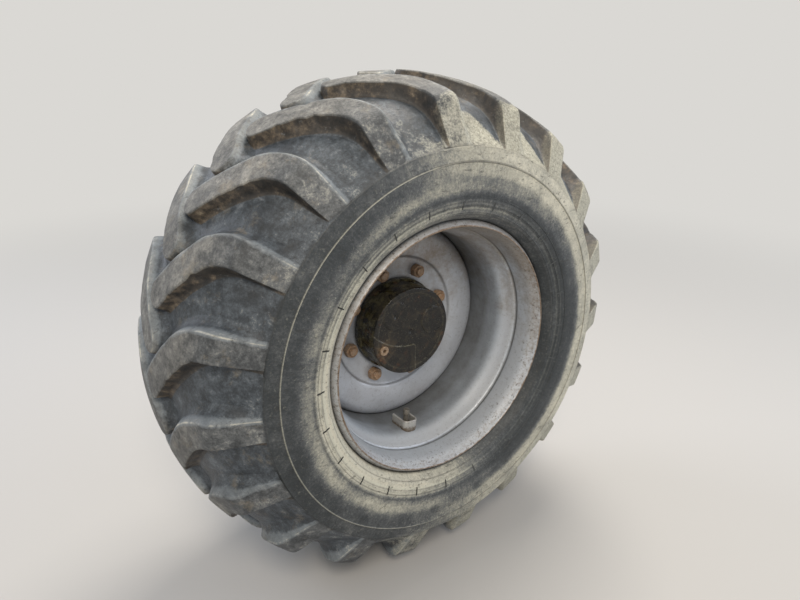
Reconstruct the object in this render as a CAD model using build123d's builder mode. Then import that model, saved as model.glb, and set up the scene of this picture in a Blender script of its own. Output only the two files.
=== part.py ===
"""Front wheel of a site dumper, turning on the end of its axle.

Sizes are in millimetres. The axle line is the Y axis and +Y points inboard, towards the machine.
The origin is the centre of the axle arm's mounting face, so the whole wheel lies at negative Y.
Profiles of turned pieces are drawn with x as the radius and y along the axle.
"""
from build123d import *
from math import cos, radians, sin, tan
import os

os.makedirs("parts", exist_ok=True)

# Places along the axle
axle_reach = 324.0           # mounting face to the hub face that the wheel disc sits on
disc_offset = 4.0            # hub face to the middle of the tyre
face_gap = 0.3               # between a curved face and what it seats on
turn_gap = 5.0               # between the turning hub and the fixed axle

# Rim
seat_lip_radius = 279.0      # bead seat where it meets the lip
lip_height = 14.0
rim_half = 235.0
rim_plate = 7.0
seat_drop = 7.0              # how far the bead seat tapers inwards
seat_length = 67.0
ramp_step = 3.5
ramp_step_length = 5.0
ramp_drop = 18.5
ramp_length = 51.0
lip_bend = 9.0

# Tyre
tyre_radius = 590.7
lug_height = 29.7            # at the middle of the tread
crown_drop = 35.2
crown_bend_drop = 14.8       # worn crown, part of the way out
tread_half = 187.0
tread_bend_half = 127.0
shoulder_drop = 10.5         # worn edge of a lug at the shoulder
shoulder_step = 13.0
floor_drop = 33.0            # casing between the lugs, from the middle to its edge
floor_half = 150.0
wall_height = 164.0          # rim lip to the plain band outside the lugs
wall_half = 243.5
tyre_half_width = 255.0
widest_height = 87.0         # rim lip to the widest place
crown_wall = 30.0
side_wall = 21.0
bead_base = 38.0
lip_overhang = 1.0

# Lugs, drawn flat on the tread: along the axle and round the tyre
lugs_per_side = 19
faces_per_lug = 2            # flat faces of the casing for each lug
lug_half_width = 28.0
lug_draft = 5.0
lug_bend_radius = 130.0
lug_bend = 45.0
lug_bend_start = 200.0
lug_nose_half = 5.0
lug_outer_end = 262.0
lug_mid = 75.0
lug_phase = 7.4
lug_root = 8.0
nose_cut = 0.55

# Disc
disc_plate = 14.0
disc_bore = 110.5
flat_radius = 166.0
bead_rise = 14.0
flat_step = 8.0
curl_lead = 16.0
curl_lead_rise = 2.2
skirt_length = 26.0
bead_curl = 26.0

# Studs and nuts
stud_count = 8
stud_circle_radius = 137.5
stud_radius = 10.0
stud_hole_radius = 11.5
stud_phase = 17.0
nut_width = 30.0
nut_height = 17.0
stud_end = 7.0

# Hub and its final drive
hub_radius = 110.0
hub_flange_radius = 166.0
hub_flange = 24.0
hub_barrel_radius = 112.0
hub_barrel = 66.0
hub_spigot = 16.0
hub_pocket = 8.0
hub_corner = 6.0
hub_edge = 3.0
cover_length = 70.4
cover_front_radius = 108.5
cover_collar = 4.5
cover_collar_length = 14.0
cover_edge = 4.0
cover_ring = 9.0
boss_radius = 34.0
boss_circle_radius = 67.0
boss_rise = 3.0
boss_phase = 12.6
pad_corner = (13.0, -38.0)
pad_rise_angle = 159.5       # direction of the pad's upper edge
cover_recess = 2.0
plug_radius = 8.0
plug_head_radius = 11.0
plug_head = 4.0
plug_end_gap = 2.0
plug_circle_radius = 85.3
plug_phase = 200.8
plug_socket = 8.0
plug_depth = 14.0

# Axle end
journal_radius = 60.0
journal_gap = 0.05
journal_length = 86.0
journal_edge = 3.0
seal_radius = 104.0
seal_width = 26.0
shaft_bore = 34.0
spindle_flange = 20.0
arm_end_radius = 124.0
arm_end_flange = 24.0
arm_neck_radius = 78.0
arm_root_radius = 96.0
arm_flange = 22.0
arm_edge = 3.0
arm_neck_flare = 10.0
arm_neck_flare_length = 14.0
arm_root_length = 70.0
arm_rib = 14.0
arm_rib_length = 78.0
arm_rib_sink = 4.0
arm_rib_foot = 8.0
arm_rib_rise = 6.0
arm_ribs = 6
mount_bolts = 12
mount_circle_radius = 148.0
mount_edge = 20.0            # bolt circle to the flange's rim
mount_hole_radius = 8.75
pilot_radius = 65.0
pilot_depth = 12.0

# Valve
valve_phase = 265.0
valve_half = 96.0            # middle of the tyre to the valve
valve_radius = 8.0
valve_length = 30.0
valve_foot_radius = 13.0
valve_foot = 5.0
valve_neck = 1.0
valve_tail = 4.0
valve_cap_radius = 9.5
valve_cap = 16.0
guard_wall = 5.0
guard_bend = 15.0
guard_height = 24.0
guard_width = 42.0
guard_length = 54.0

# Places worked out from the sizes above
middle = disc_offset - axle_reach
disc_seat = -axle_reach
disc_face = disc_seat - disc_plate
hub_back = disc_seat + hub_flange + hub_barrel
spindle_front = hub_back + turn_gap
arm_front = spindle_front + spindle_flange
lip_face = middle - rim_half


def write(piece, name):
    """Label the finished piece and write it as the node of that name."""
    piece.part.label = name
    export_step(piece.part, f"parts/{name}.step")


def out(half):
    """Y of a point that lies half outboard of the tyre's middle."""
    return middle - half


def turned(radius, half):
    """Point of a turned profile: radius, and distance outboard of the tyre's middle."""
    return (radius, out(half))


# Rolled rim: one plate with a lip, a bead seat, a ramp and a deep well, the same on both sides
lip_radius = seat_lip_radius + lip_height
seat_end_half = rim_half - seat_length
seat_end_radius = seat_lip_radius - seat_drop
ramp_half = seat_end_half - ramp_step_length
ramp_radius = seat_end_radius - ramp_step
well_half = ramp_half - ramp_length
well_radius = ramp_radius - ramp_drop
bead_face = rim_half - rim_plate


def seat_back(half):
    """Radius of the tyre's side of the bead seat."""
    return seat_end_radius + rim_plate + seat_drop * (half - seat_end_half) / seat_length


valve_seat = Plane(
    origin=(0, out(valve_half), 0),
    x_dir=(0, 1, 0),
    z_dir=(cos(radians(valve_phase)), 0, sin(radians(valve_phase))),
)
with BuildPart() as rim:
    with BuildSketch(Plane.XY) as rim_profile:
        with BuildLine():
            Polyline(
                turned(well_radius, 0),
                turned(well_radius, well_half),
                turned(ramp_radius, ramp_half),
                turned(seat_end_radius, seat_end_half),
                turned(seat_lip_radius, rim_half),
                turned(lip_radius, rim_half),
                turned(lip_radius, bead_face),
                turned(seat_back(bead_face), bead_face),
                turned(seat_back(seat_end_half), seat_end_half),
                turned(ramp_radius + rim_plate, ramp_half - rim_plate / 2),
                turned(well_radius + rim_plate, well_half - rim_plate / 4),
                turned(well_radius + rim_plate, 0),
                close=True,
            )
        make_face()
        lip_corner = rim_profile.vertices().sort_by_distance((*turned(seat_lip_radius, rim_half), 0))[0]
        chamfer(lip_corner, length=lip_bend * 0.6)
        mirror(about=Plane.XZ.offset(-middle))
    revolve(axis=Axis.Y)
    with BuildSketch(valve_seat.offset(well_radius - rim_plate)):
        Circle(valve_radius + face_gap)
    extrude(amount=3 * rim_plate, mode=Mode.SUBTRACT)
write(rim, "rim")

# Tyre casing: hollow, its beads on the rim's seats, made of flat-faced slices
tyre_faces = faces_per_lug * lugs_per_side
face_turn = 360 / tyre_faces
bead_toe = bead_face - face_gap - bead_base
widest_radius = lip_radius + widest_height
wall_radius = lip_radius + wall_height
floor_radius = tyre_radius - lug_height


def tyre_slice(points):
    """One flat-faced slice of a ring whose half profile these points give."""
    with BuildPart() as piece:
        with BuildSketch(Plane.XY):
            with BuildLine():
                Polyline(*points, close=True)
            make_face()
            mirror(about=Plane.XZ.offset(-middle))
        extrude(amount=tyre_radius * tan(radians(face_turn)), both=True)
        split(bisect_by=Plane.XY.rotated((0, face_turn / 2, 0)), keep=Keep.TOP)
        split(bisect_by=Plane.XY.rotated((0, -face_turn / 2, 0)), keep=Keep.BOTTOM)
    return piece.part


def round_tyre(count, step, phase):
    """Places turned round the axle from the phase, one step apart."""
    return [Location((0, 0, 0), (0, phase + place * step, 0)) for place in range(count)]


casing_slice = tyre_slice([
    turned(floor_radius, 0),
    turned(floor_radius - floor_drop, floor_half),
    turned(wall_radius, wall_half),
    turned(widest_radius, tyre_half_width),
    turned(lip_radius + rim_plate / 2, rim_half + lip_overhang),
    turned(lip_radius + face_gap, bead_face - face_gap),
    turned(seat_back(bead_face) + 2 * face_gap, bead_face - face_gap),
    turned(seat_back(bead_toe) + 2 * face_gap, bead_toe),
    turned(widest_radius, tyre_half_width - side_wall),
    turned(wall_radius, wall_half - side_wall * 1.3),
    turned(floor_radius - floor_drop - crown_wall, floor_half * 0.7),
    turned(floor_radius - crown_wall, 0),
])
with BuildPart() as tyre:
    with Locations(*round_tyre(tyre_faces, face_turn, -lug_phase)):
        add(casing_slice)

# Space that the lugs fill: from just inside the casing out to the worn crown
lug_slice = tyre_slice([
    turned(tyre_radius, 0),
    turned(tyre_radius - crown_bend_drop, tread_bend_half),
    turned(tyre_radius - crown_drop, tread_half),
    turned(tyre_radius - crown_drop - shoulder_drop, tread_half + shoulder_step),
    turned(wall_radius, wall_half),
    turned(wall_radius - lug_root, wall_half - lug_root),
    turned(floor_radius - floor_drop - 2 * lug_root, floor_half),
    turned(floor_radius - 2 * lug_root, 0),
])
lug_slices = 3 * faces_per_lug
first_slice = -90 - face_turn * (lug_slices - 1) / 2
with BuildPart() as lug_space:
    with Locations(*round_tyre(lug_slices, face_turn, first_slice)):
        add(lug_slice)

# One lug: straight across the shoulder, then bent forwards to a blunt nose past the middle
lug_foot = wall_radius - 2 * lug_root
lug_rise = tyre_radius + lug_root - lug_foot
base_half = lug_half_width + (tyre_radius - crown_drop / 2 - lug_foot) * tan(radians(lug_draft))
bend_centre = Vector(lug_bend_start, -lug_bend_radius)
bend_side = Vector(-sin(radians(lug_bend)), cos(radians(lug_bend)))
arm_way = Vector(-cos(radians(lug_bend)), -sin(radians(lug_bend)))
bend_end = bend_centre + bend_side * lug_bend_radius
nose_centre = bend_end + arm_way * ((bend_end.X - lug_nose_half) / cos(radians(lug_bend)))
nose_tip = nose_centre + arm_way * base_half * nose_cut
half_bend = Vector(-sin(radians(lug_bend / 2)), cos(radians(lug_bend / 2)))
inner_side = bend_end - bend_side * base_half
inner_back = inner_side.X + (base_half - inner_side.Y) / tan(radians(lug_bend))
lug_plane = Plane(origin=(lug_mid, middle, lug_foot), x_dir=(0, -1, 0), z_dir=(0, 0, 1))
with BuildPart() as lug:
    with BuildSketch(lug_plane):
        with BuildLine():
            Polyline(
                (lug_outer_end, base_half),
                (lug_bend_start, base_half),
                (lug_bend_start - 2 * base_half, -base_half),
                (lug_outer_end, -base_half),
                close=True,
            )
        make_face()
    extrude(amount=lug_rise, taper=lug_draft)
    with BuildSketch(lug_plane):
        with BuildLine():
            Polyline(
                (inner_back, base_half),
                (lug_bend_start, base_half),
                bend_centre + half_bend * (lug_bend_radius + base_half),
                nose_centre + bend_side * base_half,
                nose_tip + bend_side * base_half * nose_cut,
                nose_tip - bend_side * base_half * nose_cut,
                nose_centre - bend_side * base_half,
                close=True,
            )
        make_face()
    extrude(amount=lug_rise, taper=lug_draft)
    add(lug_space.part, mode=Mode.INTERSECT)

lug_pitch = 360 / lugs_per_side
inboard_lug = lug.part.mirror(Plane.XZ.offset(-middle))
with tyre:
    with Locations(*round_tyre(lugs_per_side, lug_pitch, -lug_phase)):
        add(lug.part)
    with Locations(*round_tyre(lugs_per_side, lug_pitch, lug_pitch / 2 - lug_phase)):
        add(inboard_lug)
write(tyre, "tyre")

# Pressed disc: a bolting flat, a rolled bead round it and a skirt that fits the rim's well
skirt_outer = well_radius - face_gap
curl_centre = skirt_outer - bead_curl
crest = disc_face - bead_rise
curl_level = crest + bead_curl


def curl_points(radius, pieces):
    """Points of the bead's curl, from just past its crest down to the skirt."""
    turns = [radians(90 * (place + 1) / pieces) for place in range(pieces)]
    return [(curl_centre + radius * sin(turn), curl_level - radius * cos(turn)) for turn in turns]


with BuildPart() as disc:
    with BuildSketch(Plane.XY):
        with BuildLine():
            Polyline(
                (disc_bore, disc_seat),
                (disc_bore, disc_face),
                (flat_radius - flat_step / 2, disc_face),
                (flat_radius + flat_step / 2, disc_face - flat_step),
                (curl_centre - curl_lead, crest + curl_lead_rise),
                (curl_centre, crest),
                *curl_points(bead_curl, 3),
                (skirt_outer, curl_level + skirt_length),
                (skirt_outer - disc_plate, curl_level + skirt_length),
                *reversed(curl_points(bead_curl - disc_plate, 2)),
                (curl_centre, crest + disc_plate),
                (flat_radius + flat_step / 2, disc_seat - flat_step),
                (flat_radius - flat_step / 2, disc_seat),
                close=True,
            )
        make_face()
    revolve(axis=Axis.Y)
    with BuildSketch(Plane.XZ.offset(-disc_seat)):
        with PolarLocations(stud_circle_radius, stud_count, start_angle=stud_phase):
            Circle(stud_hole_radius)
    extrude(amount=disc_plate, mode=Mode.SUBTRACT)
write(disc, "disc")

# Hub: flange behind the disc, spigot through its bore, barrel back to the axle
with BuildPart() as hub:
    with BuildSketch(Plane.XY):
        with BuildLine():
            Polyline(
                (journal_radius + journal_gap, hub_back),
                (hub_barrel_radius - hub_corner, hub_back),
                (hub_barrel_radius, hub_back - hub_corner),
                (hub_barrel_radius, disc_seat + hub_flange + hub_corner),
                (hub_barrel_radius + hub_corner, disc_seat + hub_flange),
                (hub_flange_radius - hub_edge, disc_seat + hub_flange),
                (hub_flange_radius, disc_seat + hub_flange - hub_edge),
                (hub_flange_radius, disc_seat),
                (hub_radius, disc_seat),
                (hub_radius, disc_seat - hub_spigot),
                (0, disc_seat - hub_spigot),
                (0, hub_back - journal_length - hub_pocket),
                (journal_radius + journal_gap, hub_back - journal_length - hub_pocket),
                close=True,
            )
        make_face()
    revolve(axis=Axis.Y)
    with BuildSketch(Plane.XZ.offset(-disc_seat - hub_flange)):
        with PolarLocations(stud_circle_radius, stud_count, start_angle=stud_phase):
            Circle(stud_radius + journal_gap)
    extrude(amount=hub_flange, mode=Mode.SUBTRACT)
write(hub, "hub")

# Final drive cover: planet carrier casting with two planet bosses and a raised pad for the plug
cover_back = disc_seat - hub_spigot
cover_front = cover_back - cover_length
cover_floor = cover_front + cover_recess
with BuildPart() as final_drive_cover:
    with BuildSketch(Plane.XY):
        with BuildLine():
            Polyline(
                (0, cover_back),
                (hub_radius + cover_collar, cover_back),
                (hub_radius + cover_collar, cover_back - cover_collar_length),
                (hub_radius, cover_back - cover_collar_length - cover_collar),
                (cover_front_radius, cover_front + cover_edge),
                (cover_front_radius - cover_edge, cover_front),
                (cover_front_radius - cover_edge - cover_ring, cover_front),
                (cover_front_radius - cover_edge - cover_ring - cover_recess, cover_floor),
                (0, cover_floor),
                close=True,
            )
        make_face()
    revolve(axis=Axis.Y)
    with BuildSketch(Plane.XZ.offset(-cover_floor)):
        with PolarLocations(boss_circle_radius, 2, start_angle=boss_phase, angular_range=240):
            Circle(boss_radius)
    extrude(amount=boss_rise)
    with BuildSketch(Plane.XZ.offset(-cover_floor)):
        with BuildLine():
            pad_edge = PolarLine(pad_corner, 2 * cover_front_radius, pad_rise_angle)
            Polyline(
                pad_edge @ 1,
                (-2 * cover_front_radius, -2 * cover_front_radius),
                (pad_corner[0], -2 * cover_front_radius),
                pad_corner,
            )
        make_face()
        Circle(cover_front_radius - cover_edge - cover_ring, mode=Mode.INTERSECT)
    extrude(amount=cover_recess)
    with BuildSketch(Plane.XZ.offset(-cover_front)):
        with PolarLocations(plug_circle_radius, 1, start_angle=plug_phase):
            Circle(plug_radius + face_gap)
    extrude(amount=-plug_depth, mode=Mode.SUBTRACT)
write(final_drive_cover, "final_drive_cover")

# Filler and drain plug with a hexagon socket, its head on the cover
with BuildPart() as drain_plug:
    with BuildSketch(Plane.XZ.offset(-cover_front)):
        with PolarLocations(plug_circle_radius, 1, start_angle=plug_phase):
            Circle(plug_head_radius)
    extrude(amount=plug_head)
    with BuildSketch(Plane.XZ.offset(-cover_front)):
        with PolarLocations(plug_circle_radius, 1, start_angle=plug_phase):
            Circle(plug_radius)
    extrude(amount=-(plug_depth - plug_end_gap))
    with BuildSketch(Plane.XZ.offset(plug_head - cover_front)):
        with PolarLocations(plug_circle_radius, 1, start_angle=plug_phase):
            RegularPolygon(plug_socket / 2, 6, major_radius=False)
    extrude(amount=-2 * plug_head, mode=Mode.SUBTRACT)
write(drain_plug, "drain_plug")

# Wheel nuts, each one with its stud, pressed through the hub's flange
with BuildPart() as wheel_nuts:
    with BuildSketch(Plane.XZ.offset(-disc_seat - hub_flange)):
        with PolarLocations(stud_circle_radius, stud_count, start_angle=stud_phase):
            Circle(stud_radius)
    extrude(amount=hub_flange + disc_plate + nut_height + stud_end)
    with BuildSketch(Plane.XZ.offset(-disc_face)):
        with PolarLocations(stud_circle_radius, stud_count, start_angle=stud_phase):
            RegularPolygon(nut_width / 2, 6, major_radius=False)
    extrude(amount=nut_height)
write(wheel_nuts, "wheel_nuts")

# Spindle: flange bolted to the axle arm, and the journal that the hub turns on
with BuildPart() as spindle:
    with BuildSketch(Plane.XY):
        with BuildLine():
            Polyline(
                (shaft_bore, arm_front),
                (arm_end_radius, arm_front),
                (arm_end_radius, spindle_front),
                (journal_radius, spindle_front),
                (journal_radius, hub_back - journal_length + journal_edge),
                (journal_radius - journal_edge, hub_back - journal_length),
                (shaft_bore, hub_back - journal_length),
                close=True,
            )
        make_face()
    revolve(axis=Axis.Y)
write(spindle, "spindle")

# Oil seal: a ring on the spindle's flange that closes the gap behind the hub
with BuildPart() as hub_seal:
    with BuildSketch(Plane.XZ.offset(-spindle_front)):
        Circle(seal_radius)
        Circle(seal_radius - seal_width, mode=Mode.SUBTRACT)
    extrude(amount=turn_gap - face_gap)
write(hub_seal, "hub_seal")

# Axle arm: a cast tube with a flange for the spindle and a ribbed mounting flange
neck_start = arm_front + arm_end_flange
arm_flange_radius = mount_circle_radius + mount_edge
with BuildPart() as axle_arm:
    with BuildSketch(Plane.XY):
        with BuildLine():
            Polyline(
                (shaft_bore, arm_front),
                (arm_end_radius, arm_front),
                (arm_end_radius, neck_start),
                (arm_neck_radius + arm_neck_flare, neck_start),
                (arm_neck_radius, neck_start + arm_neck_flare_length),
                (arm_neck_radius, -arm_flange - arm_root_length),
                (arm_root_radius, -arm_flange),
                (arm_flange_radius - arm_edge, -arm_flange),
                (arm_flange_radius, -arm_flange + arm_edge),
                (arm_flange_radius, 0),
                (pilot_radius, 0),
                (pilot_radius, -pilot_depth),
                (shaft_bore, -pilot_depth),
                close=True,
            )
        make_face()
    revolve(axis=Axis.Y)
    for rib in range(arm_ribs):
        rib_turn = 360 / mount_bolts * (0.5 + rib * mount_bolts / arm_ribs)
        with BuildSketch(Plane.XY.rotated((0, rib_turn, 0))):
            with BuildLine():
                Polyline(
                    (arm_neck_radius - arm_rib_sink, -arm_flange - arm_rib_length),
                    (arm_neck_radius - arm_rib_sink, -arm_flange / 2),
                    (arm_flange_radius - arm_rib_foot, -arm_flange / 2),
                    (arm_flange_radius - arm_rib_foot, -arm_flange - arm_rib_rise),
                    close=True,
                )
            make_face()
        extrude(amount=arm_rib / 2, both=True)
    with BuildSketch(Plane.XZ):
        with PolarLocations(mount_circle_radius, mount_bolts):
            Circle(mount_hole_radius)
    extrude(amount=arm_flange, mode=Mode.SUBTRACT)
write(axle_arm, "axle_arm")

# Tyre valve: its foot on the rim's well, a stem through it and a cap that points at the axle
foot_level = (well_radius**2 - valve_foot_radius**2) ** 0.5 - face_gap
with BuildPart() as tyre_valve:
    with BuildSketch(valve_seat.offset(foot_level)):
        Circle(valve_foot_radius)
    extrude(amount=-valve_foot)
    with BuildSketch(valve_seat.offset(foot_level)):
        Circle(valve_radius)
    extrude(amount=rim_plate + valve_tail)
    with BuildSketch(valve_seat.offset(foot_level)):
        Circle(valve_radius - valve_neck)
    extrude(amount=-valve_length)
    with BuildSketch(valve_seat.offset(foot_level - valve_length)):
        Circle(valve_cap_radius)
    extrude(amount=-valve_cap)
write(tyre_valve, "tyre_valve")

# Valve guard: a bent plate round the outboard side of the valve, welded to the well and the ramp
with BuildSketch() as guard_inside:
    with Locations((guard_wall, 0)):
        Rectangle(guard_length, guard_width - 2 * guard_wall)
    fillet(guard_inside.vertices().group_by(Axis.X)[0], radius=guard_bend - guard_wall)
with BuildPart() as valve_guard:
    with BuildSketch(valve_seat.offset(well_radius - guard_height)) as guard_outline:
        Rectangle(guard_length, guard_width)
        fillet(guard_outline.vertices().group_by(Axis.X)[0], radius=guard_bend)
        add(guard_inside.sketch, mode=Mode.SUBTRACT)
    extrude(amount=guard_height + ramp_drop)
    with BuildSketch(Plane.XY):
        with BuildLine():
            Polyline(
                (0, 0),
                (well_radius - face_gap, 0),
                turned(well_radius - face_gap, well_half),
                turned(ramp_radius - face_gap, ramp_half),
                turned(0, ramp_half),
                close=True,
            )
        make_face()
    revolve(axis=Axis.Y, mode=Mode.INTERSECT)
write(valve_guard, "valve_guard")
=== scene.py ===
"""Front wheel of a site dumper at the end of its axle arm, dressed for rendering."""
import functools
import math
import bmesh
import bpy
import numpy as np
from mathutils import Matrix, Vector


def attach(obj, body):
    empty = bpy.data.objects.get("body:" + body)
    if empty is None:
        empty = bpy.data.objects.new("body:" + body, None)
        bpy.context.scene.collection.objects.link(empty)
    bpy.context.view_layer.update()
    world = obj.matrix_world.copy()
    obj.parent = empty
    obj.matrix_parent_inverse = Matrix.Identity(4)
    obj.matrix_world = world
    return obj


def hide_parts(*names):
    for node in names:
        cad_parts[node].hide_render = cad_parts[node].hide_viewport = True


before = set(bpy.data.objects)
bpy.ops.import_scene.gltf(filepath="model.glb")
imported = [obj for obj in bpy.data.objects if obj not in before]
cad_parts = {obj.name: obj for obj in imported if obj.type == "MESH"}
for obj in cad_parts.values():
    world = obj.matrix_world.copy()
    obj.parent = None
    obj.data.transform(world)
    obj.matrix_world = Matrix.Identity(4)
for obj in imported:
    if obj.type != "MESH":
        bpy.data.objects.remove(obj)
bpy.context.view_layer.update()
# A length times MM is in metres, and one without it is in millimetres.
MM = 0.001

# Axle arm. A grey iron casting with machined flanges, painted black at the works
# and now under a coat of dry road dust. Ten bolts hold the spindle to its end.
# The first section that needs a function defines it, so most of those for meshes and materials are here.


def linear(code):
    """Linear colour of an sRGB hex code: a channel is divided by 12.92 where it is dark, and elsewhere is
    raised to 2.4 after 0.055 is added to it and the sum is divided by 1.055."""
    channels = np.array([int(code[place:place + 2], 16) for place in (1, 3, 5)]) / 255
    low = channels / 12.92
    high = ((channels + 0.055) / 1.055) ** 2.4
    return (*np.where(channels <= 0.04045, low, high), 1.0)


def add_node(tree, kind, *values, stops=(), **settings):
    """Adds a node and returns its first output in use. The kind is Blender's name less ShaderNode, or a step
    of arithmetic in capitals. Values go to the inputs in use, in order. Settings are properties, in lower
    case, or inputs. An input takes a number, a hex colour, an output to link, or None to stay as it is. Stops
    are the places and the greys or hex colours of a ramp."""
    made = tree.nodes.new("ShaderNodeMath" if kind.isupper() else "ShaderNode" + kind)
    if kind.isupper():
        made.operation = kind
    for name, value in settings.items():
        if name.islower():
            setattr(made, name, value)
    feeds = list(zip([socket for socket in made.inputs if socket.enabled], values))
    for name, value in settings.items():
        if not name.islower():
            feeds.append((made.inputs[name.replace("_", " ")], value))
    for socket, value in feeds:
        if isinstance(value, bpy.types.NodeSocket):
            tree.links.new(value, socket)
        elif value is not None:
            socket.default_value = linear(value) if isinstance(value, str) else value
    while stops and len(made.color_ramp.elements) < len(stops):
        made.color_ramp.elements.new(0.5)
    for number, (at, tone) in enumerate(stops):
        element = made.color_ramp.elements[number]
        element.position = at
        element.color = linear(tone) if isinstance(tone, str) else (tone, tone, tone, 1)
    return next((output for output in made.outputs if output.enabled), None)


def new_material(name):
    """An empty node material: returns it, the call that adds its nodes, and the place on the piece."""
    material = bpy.data.materials.new(name)
    material.use_nodes = True
    material.node_tree.nodes.clear()
    node = functools.partial(add_node, material.node_tree)
    return material, node, node("TexCoord").node.outputs["Object"]


def patches(node, place, grain, detail, rough, *stops, **settings):
    """Patches about grain metres across: noise with that many octaves of detail, put through a ramp's stops."""
    return node("ValToRGB", node("TexNoise", place, 1 / grain, detail, rough, **settings), stops=stops)


def lay_coats(node, colour, *coats):
    """Lays coats over a colour in order. A coat is its tint and the amounts whose product is its cover."""
    for tint, *amounts in coats:
        cover = functools.reduce(functools.partial(node, "MULTIPLY"), amounts)
        colour = node("Mix", cover, colour, tint, data_type="RGBA")
    return colour


def finish_surface(node, colour, layers, **settings):
    """Ends a material: relief from layers of (height, depth in millimetres, strength), one bump on another,
    then the shader with its colour and settings, and the output."""
    relief = None
    for height, depth, strength in layers:
        relief = node("Bump", Height=height, Distance=depth * MM, Strength=strength, Normal=relief)
    node("OutputMaterial", node("BsdfPrincipled", colour, Normal=relief, **settings))


def cast_iron(name, paint, dust, rust, shine):
    """Painted sand casting. The sand leaves a grain of about 2 mm, which breaks up the light; dust lies on it
    in broad, dull patches, and rust shows in spots where the paint has gone."""
    material, node, place = new_material(name)
    grain = node("TexNoise", place, 1 / (2.2 * MM), 3, 0.55)
    patch = node("TexNoise", place, 1 / (60 * MM), 6, 0.6)
    spots = patches(node, place, 14 * MM, 7, 0.65, (0.60, 0.0), (0.70, 1.0))
    veil = node("ValToRGB", patch, stops=[(0.38, 0.0), (0.66, 1.0)])
    colour = lay_coats(node, paint, (dust, veil), (rust, spots, 0.75))
    rough = node("ValToRGB", veil, stops=[(0.0, shine), (1.0, 0.85)])
    finish_surface(node, colour, [(grain, 0.5, 0.5), (patch, 2, 0.25)], Roughness=rough, IOR=1.5)
    return material


def dress(cad_name, material):
    """Gives a CAD node its material, in every slot."""
    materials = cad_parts[cad_name].data.materials
    materials.clear()
    materials.append(material)


def make_piece(
    name, points, faces, material, body, stands_for=(), smooth=35, closed=True, tags=None, caps=()
):
    """A piece from arrays of points and of four-cornered faces, riding on a body of the frame. smooth is the
    sharpest angle in degrees that is shaded smooth, tags are numbers stored on the points, and caps are faces
    with more corners."""
    mesh = bpy.data.meshes.new(name)
    corners = np.asarray(faces).tolist() + [cap.tolist() for cap in caps]
    mesh.from_pydata(np.asarray(points).tolist(), [], corners)
    for tag, values in (tags or {}).items():
        numbers = np.asarray(values, np.float32).ravel()
        mesh.attributes.new(tag, "FLOAT", "POINT").data.foreach_set("value", numbers)
    work = bmesh.new()
    work.from_mesh(mesh)
    bmesh.ops.remove_doubles(work, verts=work.verts, dist=0.002 * MM)
    bmesh.ops.dissolve_degenerate(work, edges=work.edges, dist=0.001 * MM)
    if closed:
        bmesh.ops.recalc_face_normals(work, faces=work.faces)
    work.to_mesh(mesh)
    work.free()
    mesh.shade_smooth()
    mesh.set_sharp_from_angle(angle=math.radians(smooth))
    mesh.materials.append(material)
    piece = bpy.data.objects.new(name, mesh)
    bpy.context.scene.collection.objects.link(piece)
    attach(piece, body)
    if stands_for:
        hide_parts(*stands_for)
    return piece


def grid_faces(rows, columns, wrap_rows=False, wrap_columns=True):
    """Quads between neighbouring rows and columns of a grid of points, numbered row by row."""
    row = np.arange(rows if wrap_rows else rows - 1)[:, None]
    column = np.arange(columns if wrap_columns else columns - 1)[None, :]
    after_row = (row + 1) % rows
    after_column = (column + 1) % columns
    corners = [
        row * columns + column, after_row * columns + column,
        after_row * columns + after_column, row * columns + after_column,
    ]
    return np.stack([np.broadcast_to(corner, (row.size, column.size)) for corner in corners], -1).reshape(-1, 4)


def circle_angles(columns):
    """Angles in radians that divide a circle evenly."""
    return np.linspace(0, 2 * np.pi, columns, endpoint=False)


def hexagon(flats, columns=72):
    """Radius of a hexagon all round: half its width across flats over the cosine from the nearest flat."""
    return flats / 2 / np.cos((circle_angles(columns) + np.pi / 6) % (np.pi / 3) - np.pi / 6)


def stack_rings(rows, columns=72):
    """Grid of points round z from rows of radius and height in millimetres: x = r cos a, y = r sin a. A
    radius is one number, or one for each column."""
    radius = np.stack([np.broadcast_to(row[0], columns) for row in rows])
    up = np.broadcast_to([[row[1]] for row in rows], radius.shape)
    angle = circle_angles(columns)
    return np.stack([radius * np.cos(angle), radius * np.sin(angle), up], -1) * MM


def ring_of(shape, count, circle, level, facing, phase=0.0):
    """Copies a grid of points round the axle, its z turned to face along -y (facing -1) or +y (facing 1)."""
    turns = (phase + np.arange(count) * 2 * np.pi / count)[:, None, None]
    out, sideways = circle + shape[..., 0], shape[..., 1]
    points = np.stack([
        out * np.cos(turns) - sideways * np.sin(turns),
        level + facing * shape[..., 2] + 0 * turns,
        out * np.sin(turns) + sideways * np.cos(turns),
    ], -1)
    faces = grid_faces(*shape.shape[:2]) + np.arange(count)[:, None, None] * out.size
    return points.reshape(-1, 3), faces.reshape(-1, 4)


arm_paint = cast_iron("Painted_sand_casting", "#232426", "#6f675c", "#5b3a25", 0.5)
dress("axle_arm", arm_paint)

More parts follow.
